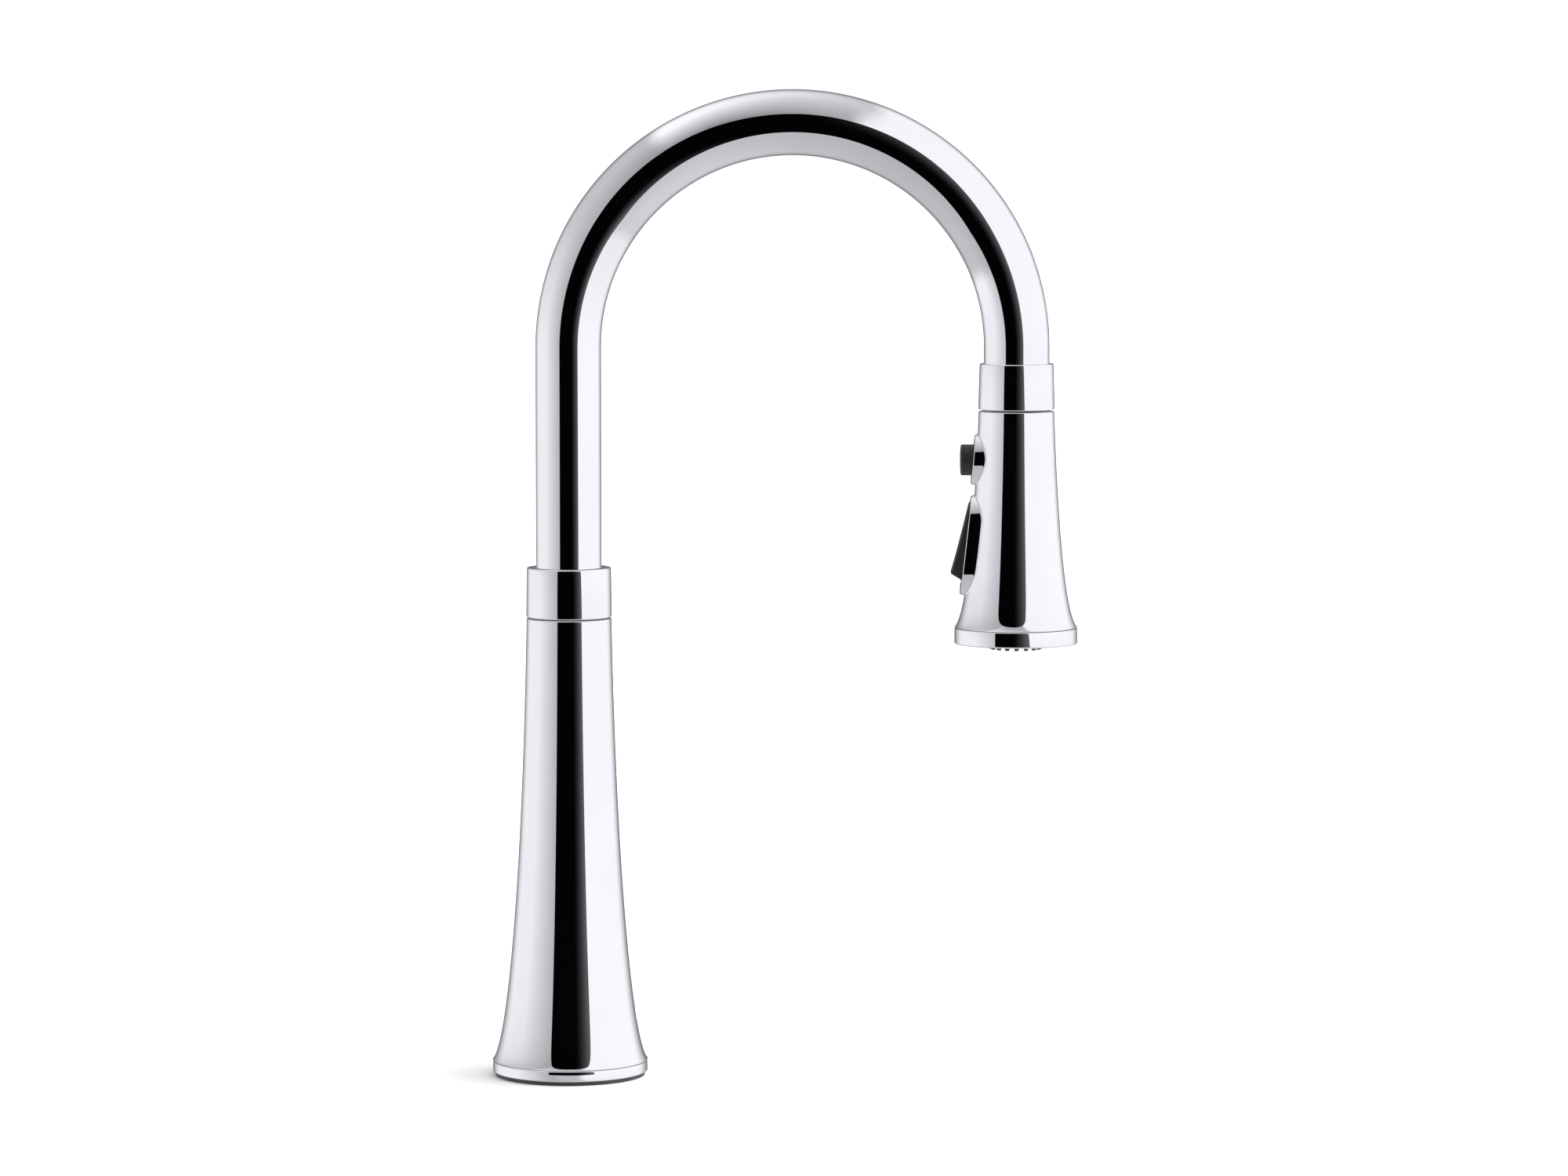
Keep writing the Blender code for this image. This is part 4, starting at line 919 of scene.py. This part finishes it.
BUTTON_HEIGHT = sum(corner.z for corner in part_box("boost_button")) / 2
PIN_HEIGHT = sum(corner.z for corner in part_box("rocker_pin")) / 2


def door(half_width, top, foot, corner, steps=16):
    """The rocker's front outline: a round top and small corners at the foot, as (side, height)."""
    outline = [
        (half_width * math.cos(a), top - half_width + half_width * math.sin(a))
        for a in angles(0, math.pi, 2 * steps)
    ]
    outline += [(-half_width, top - half_width - d * MM) for d in (2, 5, 8, 11, 14, 17, 20)]
    for side, start in ((-1, math.pi), (1, 1.5 * math.pi)):
        for a in angles(start, start + math.pi / 2, 6):
            outline.append((
                side * (half_width - corner) + corner * math.cos(a),
                foot + corner + corner * math.sin(a),
            ))
    outline += [(half_width, top - half_width - d * MM) for d in (20, 17, 14, 11, 8, 5, 2)]
    return outline


def make_spray_shell():
    side = head_side()
    shell = lathe(
        "spray_body", rounded_shell(side, HEAD_WALL, 12.4 * MM, HEAD_WALL, 0.3 * MM), place=HEAD
    )
    button_pad = pad(
        "pad", stadium(11.4 * MM, 22.8 * MM, 48), BUTTON_HEIGHT + 0.2 * MM, 19.9 * MM,
        math.radians(4.8), 0.32 * MM, 1.2 * MM,
    )
    boolean(shell, button_pad, "UNION")
    rocker_pad = pad(
        "pad", stadium(12 * MM, 45.5 * MM, 28), PIN_HEIGHT - 16.8 * MM, 23.25 * MM,
        math.radians(6.4), 0.32 * MM, 1.2 * MM,
    )
    boolean(shell, rocker_pad, "UNION")
    button_place = HEAD + Vector((0, 0, BUTTON_HEIGHT))
    drill(shell, 7.45 * MM, 40 * MM, 8 * MM, place=button_place, along="-X", sides=96)
    outline = door(7.8 * MM, 3.6 * MM, -34.5 * MM, 1.8 * MM)
    window = skin(
        "cutter",
        [[Vector((REACH - x, y, PIN_HEIGHT + h)) for y, h in outline] for x in (11 * MM, 41 * MM)],
    )
    boolean(shell, window)
    smooth(shell)
    true_normals(shell, radius_of(side), (REACH, 0))
    finish_piece(shell, "spray_head", "chrome", "spray_shell")


def make_spray_face():
    foot, top, radius = ring_low.z, ring_high.z, ring_high.y
    bore = 24 * MM
    ring = lathe(
        "spray_rim",
        [(radius - 0.1 * MM, top, 0.35 * MM), (radius, foot, 0.7 * MM), (bore, foot, 0.5 * MM),
         (bore, top, 0)],
        place=HEAD, radius=0.4 * MM, steps=5,
    )
    finish_piece(ring, "spray_head", "chrome", "spray_ring")
    low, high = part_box("spray_face")
    groove, bore = low.z + 0.5 * MM, 13.1 * MM
    face = lathe(
        "face_disc",
        [(high.y, high.z, 0), (high.y, low.z, 0.4 * MM), (21 * MM, low.z), (20.4 * MM, groove),
         (15.4 * MM, groove), (14.8 * MM, low.z), (bore, low.z), (bore, high.z, 0)],
        place=HEAD, radius=0.3 * MM,
    )
    finish_piece(face, "spray_head", "charcoal", "spray_face")
    pad_foot = low.z - 0.4 * MM
    low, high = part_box("nozzle_pad")
    disc = lathe(
        "nozzle_disc",
        [(high.y, high.z), (high.y, pad_foot), (7.6 * MM, pad_foot), (7.6 * MM, high.z)],
        place=HEAD, radius=0.4 * MM,
    )
    nozzle_ring, count = 11.2 * MM, 16
    root, floor = pad_foot + 1 * MM, low.z + 1.8 * MM
    outline = [
        (1.5 * MM, root, 0), (1.4 * MM, pad_foot - 0.3 * MM, 0.3 * MM), (1.0 * MM, low.z, 0.3 * MM),
        (0.45 * MM, low.z, 0.15 * MM), (0.35 * MM, floor, 0), (0, floor), (0, root),
    ]
    for a in circle(count):
        spot = HEAD + Vector((nozzle_ring * math.cos(a), nozzle_ring * math.sin(a), 0))
        nozzle = lathe("nozzle", outline, place=spot, sides=28, radius=0.2 * MM, steps=3)
        boolean(disc, nozzle, "UNION")
    finish_piece(disc, "spray_head", "grey_rubber", "nozzle_pad", angle=40)
    low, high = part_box("aerator")
    bore, floor = high.y - 1.5 * MM, low.z + 2.2 * MM
    cup = lathe(
        "aerator_cup",
        [(high.y, high.z, 0), (high.y, low.z, 0.4 * MM), (bore, low.z), (bore, floor, 0),
         (0, floor), (0, high.z)],
        place=HEAD, sides=96, radius=0.3 * MM,
    )
    finish_piece(cup, "spray_head", "white_plastic", "aerator")
    bars = bmesh.new()
    grid = high.y - 1.6 * MM
    for turn in (0, math.pi / 2):
        for k in range(-3, 4):
            across = k * 1.45 * MM
            half = math.sqrt(grid * grid - across * across)
            spot = Matrix.Rotation(turn, 4, "Z") @ Matrix.Translation((across, 0, 0))
            size = Matrix.Diagonal((0.5 * MM, 2 * half, 0.9 * MM, 1))
            bmesh.ops.create_cube(
                bars, size=1,
                matrix=Matrix.Translation(HEAD + Vector((0, 0, low.z + 1.5 * MM))) @ spot @ size,
            )
    mesh = bpy.data.meshes.new("stream_grid")
    bars.to_mesh(mesh)
    bars.free()
    screen = bpy.data.objects.new("stream_grid", mesh)
    bpy.context.scene.collection.objects.link(screen)
    round_edges = screen.modifiers.new("edges", "BEVEL")
    round_edges.width = 0.08 * MM
    mesh.materials.append(FINISHES["white_plastic"])
    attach(screen, "spray_head")


def make_button():
    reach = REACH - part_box("boost_button")[0].x
    radius, flange = 7.15 * MM, 8.15 * MM
    foot, flange_top = 11 * MM, 11.8 * MM
    button = lathe(
        "pause_button",
        [(0, reach), (2.2 * MM, reach - 0.02 * MM, 0), (4.4 * MM, reach - 0.10 * MM, 0),
         (radius, reach - 0.34 * MM, 1.0 * MM), (radius, flange_top, 0),
         (flange, flange_top, 0.2 * MM), (flange, foot, 0), (0, foot)],
        place=HEAD + Vector((0, 0, BUTTON_HEIGHT)), along="-X", sides=120,
        radius=0.3 * MM, steps=7,
    )
    finish_piece(button, "button", "charcoal", "boost_button")


def make_spring():
    """The button's return spring: a cone of round wire, whose coils nest as the button goes in."""
    wire, turns, count, sides = 0.2 * MM, 2.5, 90, 10
    seat, end = 8.25 * MM, 10.75 * MM
    loops = []
    for i in range(count + 1):
        share = i / count
        a = 2 * math.pi * turns * share
        coil = (3.4 + 2.6 * share) * MM
        reach = seat + (end - seat) * share
        out = Vector((0, math.cos(a), math.sin(a)))
        centre = Vector((REACH - reach, 0, BUTTON_HEIGHT)) + coil * out
        loops.append([
            centre + wire * (math.cos(b) * out + math.sin(b) * Vector((1, 0, 0)))
            for b in circle(sides)
        ])
    spring = skin("return_spring", loops)
    spring.data.materials.append(FINISHES["steel"])
    smooth(spring, 50)
    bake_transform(spring)
    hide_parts("button_spring")


def make_rocker():
    """A wedge that pivots at its top. It flares out to a tip, and its foot slopes back below it."""
    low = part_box("mode_rocker")[0]
    pin = Vector((REACH - 19.2 * MM, 0, PIN_HEIGHT))
    top = 3.3 * MM
    heel = low.z - pin.z
    tip = heel + 3.0 * MM
    flare = pin.x - low.x
    edge = 0.5 * MM
    half_width = 7.5 * MM
    shallow = 2.35 * MM

    def front(height, side):
        drop = (top - height) / (top - tip)
        rise = shallow + (flare - shallow) * (0.93 * drop + 0.07 * drop**3)
        return min(rise, flare) - 0.2 * MM * (side / half_width) ** 2

    def back(height):
        return 1.6 * MM - 1.9 * MM * (top - height) / (top - heel)

    behind, middle, ahead = (
        [Vector(p) for p in door(half_width, top, foot, 1.5 * MM)]
        for foot in (heel + 0.4 * MM, heel, tip)
    )
    core = Vector((0, (top + tip) / 2))
    loops = []
    for share in (0.5, 1.0):
        flat = [core.lerp(p, share) for p in behind]
        loops.append([Vector((pin.x + back(p.y), p.x, pin.z + p.y)) for p in flat])
    loops.append([Vector((pin.x - front(p.y, p.x) / 2, p.x, pin.z + p.y)) for p in middle])
    outs = []
    for i, p in enumerate(ahead):
        along = ahead[(i + 1) % len(ahead)] - ahead[i - 1]
        outs.append(Vector((along.y, -along.x)).normalized())
    for a in angles(0, math.pi / 2, 6):
        inset, lift = edge * (1 - math.cos(a)), edge * (1 - math.sin(a))
        flat = [p - out * inset for p, out in zip(ahead, outs)]
        loops.append(
            [Vector((pin.x - front(p.y, p.x) + lift, p.x, pin.z + p.y)) for p in flat]
        )
    for share in (0.75, 0.5, 0.25, 0.08):
        flat = [core.lerp(p - out * edge, share) for p, out in zip(ahead, outs)]
        loops.append([Vector((pin.x - front(p.y, p.x), p.x, pin.z + p.y)) for p in flat])
    rocker = skin("mode_paddle", loops)
    finish_piece(rocker, "rocker", "charcoal", "mode_rocker", angle=50)


def make_head_inside():
    low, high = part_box("head_neck")
    flange_top = high.z - 15 * MM
    root, socket, bore = 12.0 * MM, 9.1 * MM, 6.6 * MM
    shelf = flange_top + 1.9 * MM
    neck = lathe(
        "neck_cone",
        [(10.7 * MM, high.z, 0.8 * MM), (root, flange_top + 0.4 * MM, 0), (root, flange_top, 0),
         (high.y, flange_top, 0.2 * MM), (high.y, low.z, 0.2 * MM), (socket, low.z, 0),
         (socket, shelf, 0), (bore, shelf, 0), (bore, high.z, 0.3 * MM)],
        place=HEAD, radius=0.3 * MM, steps=5,
    )
    finish_piece(neck, "spray_head", "black_plastic", "head_neck")
    plain_ring(
        "head_ring_magnet", "head_magnet", "spray_head", "magnet", 6.9 * MM, 0.5 * MM, HEAD
    )


# ---------------------------------------------------------------- hose


def make_hose():
    """The braided hose. Where the head pulls it out, its weave is drawn for the pulled length."""
    low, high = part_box("pull_out_hose")
    radius = high.y
    pull = 180 * MM
    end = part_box("hose_nut")[0].z - 0.6 * MM
    sides = 48
    rings = []
    rows = []
    travelled = 0.0
    line = arch_line(low.z, end, 96)
    dense = []
    for (a, way_a), (b, way_b) in zip(line, line[1:]):
        parts = 6 if a.x > REACH - 1e-6 and b.x > REACH - 1e-6 else 3
        for k in range(parts):
            dense.append((a.lerp(b, k / parts), way_a.lerp(way_b, k / parts).normalized()))
    dense.append(line[-1])
    previous = dense[0][0]
    for centre, way in dense:
        travelled += (centre - previous).length
        previous = centre
        share = 0.0
        if centre.x > REACH - 1e-6:
            share = min(max((ARCH_HEIGHT - centre.z) / (ARCH_HEIGHT - end), 0), 1)
        rings.append(around(centre, way, radius, sides))
        rows.append(travelled + pull * share * share * (3 - 2 * share))
    points = [p for loop in rings for p in loop]
    faces = []
    for i in range(len(rings) - 1):
        for k in range(sides):
            n = (k + 1) % sides
            faces.append((i * sides + k, i * sides + n, (i + 1) * sides + n, (i + 1) * sides + k))
    faces.append(tuple(range(sides))[::-1])
    faces.append(tuple((len(rings) - 1) * sides + k for k in range(sides)))
    mesh = bpy.data.meshes.new("braided_hose")
    mesh.from_pydata([tuple(p) for p in points], [], faces)
    weave = mesh.uv_layers.new(name="weave")
    for polygon in mesh.polygons:
        wraps = [mesh.loops[k].vertex_index % sides for k in polygon.loop_indices]
        crossing = max(wraps) - min(wraps) > 2
        for k in polygon.loop_indices:
            index = mesh.loops[k].vertex_index
            turn = index % sides
            if crossing and turn == 0:
                turn = sides
            weave.data[k].uv = (turn / sides, rows[index // sides])
    hose = bpy.data.objects.new("braided_hose", mesh)
    bpy.context.scene.collection.objects.link(hose)
    mesh.materials.append(FINISHES["braid"])
    smooth(hose, 50)
    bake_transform(hose)
    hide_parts("pull_out_hose")


# ---------------------------------------------------------------- lever


def make_lever():
    """The side lever: a fixed half ball, a turning cap, and an upright handle with its eye."""
    out = dict(place=(0, 0, HUB_HEIGHT), along="Y", sides=120)
    dome_radius = sleeve_high.x
    turn_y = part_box("cartridge")[1].y - 1.8 * MM
    low_y = 10 * MM
    opening = math.radians(34)

    def on_ball(radius, angle):
        return radius * math.sin(angle), turn_y + radius * math.cos(angle)

    arc = [on_ball(dome_radius, a) for a in angles(opening, math.pi / 2, 24)]
    mouth = on_ball(dome_radius - 2 * MM, opening)
    seat = lathe(
        "lever_seat",
        arc + [(dome_radius, low_y), (HUB_BORE, low_y), (HUB_BORE, turn_y + 3.6 * MM), mouth],
        **out,
    )
    side = column_side()
    wrap = [(r - 0.9 * MM, h) for r, h in side]
    core = lathe("cutter", [(0, wrap[0][1])] + wrap + [(0, wrap[-1][1])])
    boolean(seat, core)
    finish_piece(seat, "base", "chrome", "cartridge_sleeve")

    inner, outer = dome_radius + 0.4 * MM, dome_radius + 2.4 * MM
    boss = 8.5 * MM
    rim = math.radians(62)
    boss_meets = math.asin(boss / outer)
    thread = 2.1 * MM
    socket = 3.7 * MM
    socket_floor = turn_y + inner + 4.3 * MM
    boss_edge = 0.3 * MM
    outline = [
        (thread, cap_high.y), (boss - boss_edge, cap_high.y), (boss, cap_high.y - boss_edge),
        (boss, turn_y + outer * math.cos(boss_meets) + 1.0 * MM),
    ]
    outline += [on_ball(outer, a) for a in angles(boss_meets + math.radians(5), rim, 24)]
    outline.append(on_ball(outer - 0.25 * MM, rim + 0.02))
    outline += [on_ball(inner, a) for a in angles(rim, math.radians(13), 16)]
    outline += [(socket, socket_floor), (thread, socket_floor)]
    cap = lathe("lever_hood", outline, **out)
    finish_piece(cap, "handle", "chrome", "lever_cap")

    plug = lathe(
        "lever_cover",
        [(0, plug_low.y), (boss, plug_low.y, 0), (boss, plug_high.y - 0.35 * MM, 0.5 * MM),
         (4.5 * MM, plug_high.y - 0.06 * MM, 0), (0, plug_high.y)],
        radius=0.3 * MM, steps=5, **out,
    )
    finish_piece(plug, "handle", "chrome", "lever_plug")

    eye_foot = turn_y + outer + 1.0 * MM
    eye_end = plug_high.y - 0.2 * MM
    eye_radius, eye_bore = 12.5 * MM, 8.8 * MM
    eye = lathe(
        "lever_handle",
        [(eye_radius, eye_end), (eye_radius, eye_foot), (eye_bore, eye_foot), (eye_bore, eye_end)],
        radius=1.1 * MM, steps=6, **out,
    )
    middle = (eye_foot + eye_end) / 2
    start, length, lean = 10.3 * MM, 98 * MM, 9.9 * MM
    loops = []
    for i in range(41):
        t = i / 40
        radius = 5.0 * MM - 1.2 * MM * t
        flare = max(0.0, 1 - t / 0.12)
        radius += 0.6 * MM * flare * flare
        if t < 0.03:
            radius = min(radius, (eye_end - eye_foot) / 2 + 0.4 * MM)
        centre = Vector((0, middle + lean * t * t, HUB_HEIGHT + start + (length - start) * t))
        loops.append([
            centre + Vector((radius * math.cos(a), radius * math.sin(a), 0))
            for a in circle(48)
        ])
    tip = 3.8 * MM
    for k in range(1, 9):
        a = math.pi / 2 * k / 9
        centre = Vector((0, middle + lean, HUB_HEIGHT + length + tip * math.sin(a)))
        loops.append([
            centre + Vector((tip * math.cos(a) * math.cos(b), tip * math.cos(a) * math.sin(b), 0))
            for b in circle(48)
        ])
    blade = skin("blade", loops)
    drill(blade, eye_bore, eye_end + 10 * MM, eye_foot - 5 * MM, **out)
    boolean(eye, blade, "UNION")
    finish_piece(eye, "handle", "chrome", "lever")


# ---------------------------------------------------------------- below the deck


def threaded(name, radius, bore, low, high, pitch, depth, place=(0, 0, 0), sides=72):
    """A rod or tube with a cut screw thread: V grooves that climb one pitch a turn."""
    rows = int((high - low) / pitch * 6)
    loops = []
    for i in range(rows + 1):
        z = low + (high - low) * i / rows
        fade = min(1.0, (z - low) / pitch, (high - z) / pitch)
        made = []
        for k, a in enumerate(circle(sides)):
            phase = ((z / pitch) - k / sides) % 1
            groove = depth * fade * (1 - abs(2 * phase - 1))
            bevel = 0.6 * depth * (1 - fade)
            r = radius - groove - bevel
            made.append(Vector(place) + Vector((r * math.cos(a), r * math.sin(a), z)))
        loops.append(made)
    if bore:
        for z in (high, low):
            loops.append([
                Vector(place) + Vector((bore * math.cos(a), bore * math.sin(a), z))
                for a in circle(sides)
            ])
    return skin(name, loops, closed=bool(bore))


def make_deck_fixing():
    low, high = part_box("mounting_shank")
    wall, pitch, depth, clear = 2.4 * MM, 1.5 * MM, 0.55 * MM, 16.2 * MM
    shank = threaded("threaded_shank", high.x, high.x - wall, low.z, high.z, pitch, depth)
    finish_piece(shank, "base", "brass", "mounting_shank", angle=60)
    for node, name, finish in (
        ("deck_washer", "rubber_deck_washer", "black_rubber"),
        ("steel_washer", "steel_deck_washer", "steel"),
    ):
        plain_ring(name, node, "base", finish, clear)
    low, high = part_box("mounting_nut")
    corner = high.y
    corners = [
        Vector((corner * math.cos(math.radians(turn)), corner * math.sin(math.radians(turn))))
        for turn in range(30, 391, 60)
    ]
    hexagon = [p.lerp(q, k / 12) for p, q in zip(corners, corners[1:]) for k in range(12)]
    chamfer, bevel = corner * math.cos(math.pi / 6) * 1.03, 1.2 * MM
    nut = skin("hex_nut", [
        [Vector((*(p if p.length < reach else p.normalized() * reach), z)) for p in hexagon]
        for z, reach in (
            (low.z, chamfer), (low.z + bevel, corner), (high.z - bevel, corner), (high.z, chamfer)
        )
    ])
    screw_x = sum(corner.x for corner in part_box("clamp_screw_front")) / 2
    for radius, x, sides in ((clear, 0, 96), (2.4 * MM, screw_x, 36), (2.4 * MM, -screw_x, 36)):
        drill(nut, radius, high.z + 5 * MM, low.z - 5 * MM, place=(x, 0, 0), sides=sides)
    finish_piece(nut, "base", "brass", "mounting_nut", angle=25)
    for node, x in (("clamp_screw_front", screw_x), ("clamp_screw_back", -screw_x)):
        low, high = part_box(node)
        screw = threaded(
            node + "_thread", 2.0 * MM, 0, low.z + 3.5 * MM, high.z, 0.7 * MM, 0.3 * MM,
            place=(x, 0, 0), sides=36,
        )
        hexes = [
            [Vector((x + r * math.cos(a), r * math.sin(a), z)) for a in circle(6)]
            for z, r in ((low.z, 3.8 * MM), (low.z + 0.4 * MM, 4.2 * MM), (low.z + 4 * MM, 4.2 * MM))
        ]
        boolean(screw, skin("screw_head", hexes), "UNION")
        finish_piece(screw, "base", "steel", node, angle=25)
    for node in ("hot_inlet", "cold_inlet"):
        low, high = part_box(node)
        x = (low.x + high.x) / 2
        radius = high.y
        thread_top, pitch, depth, bore = low.z + 14 * MM, 1 * MM, 0.35 * MM, 2.2 * MM
        outline = [(radius, high.z), (radius, thread_top)]
        for k in range(12):
            z = thread_top - pitch * k
            outline += [
                (radius, z - 0.1 * MM), (radius - depth, z - 0.5 * MM), (radius, z - 0.9 * MM)
            ]
        outline += [(radius - 0.3 * MM, low.z), (bore, low.z), (bore, high.z)]
        pipe = lathe(node + "_pipe", outline, place=(x, 0, 0), sides=48)
        finish_piece(pipe, "base", "brass", node, angle=25)
    low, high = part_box("hose_fitting")
    barb = [(high.x, high.z), (high.x, high.z - 4 * MM)]
    for k in range(3):
        z = high.z - 4 * MM - 2.4 * MM * k
        barb += [(high.x, z - 0.2 * MM), (high.x - 0.7 * MM, z - 1.0 * MM), (high.x, z - 2.2 * MM)]
    barb += [
        (high.x, low.z + 8 * MM), (5 * MM, low.z + 8 * MM), (5 * MM, low.z + 5 * MM),
        (4.4 * MM, low.z + 4.4 * MM), (4.4 * MM, low.z + 2.6 * MM), (5 * MM, low.z + 2 * MM),
        (4.7 * MM, low.z), (3 * MM, low.z), (3 * MM, high.z),
    ]
    fitting = lathe("quick_fitting", barb, sides=72, radius=0.15 * MM, steps=3)
    finish_piece(fitting, "spout", "brass", "hose_fitting")


make_base()
make_column()
make_swivel()
make_spout_tube()
make_dock()
make_spray_shell()
make_spray_face()
make_button()
make_spring()
make_rocker()
make_head_inside()
make_hose()
make_lever()
make_deck_fixing()


# ---------------------------------------------------------------- CAD nodes that stay

KEPT = {
    "brass": ["valve_body", "cartridge_nut", "cartridge_stem", "spout_stub", "hose_nut"],
    "steel": ["retaining_ring", "lever_screw", "rocker_pin"],
    "white_plastic": ["stem_rotor", "swivel_bush", "diverter_plate", "check_valve"],
    "grey_plastic": ["cartridge"],
    "black_plastic": ["waterway"],
    "black_rubber": ["swivel_oring"],
}
for finish, names in KEPT.items():
    for name in names:
        node = frame["nodes"][name]
        node.data.materials.clear()
        node.data.materials.append(FINISHES[finish])
        smooth(node, 30)

# A retoucher takes the faucet's mirror image out of its own chrome, and so does this.
for obj in bpy.context.scene.objects:
    if obj.type == "MESH" and obj.name != "black_card":
        obj.visible_glossy = False

bpy.context.view_layer.update()
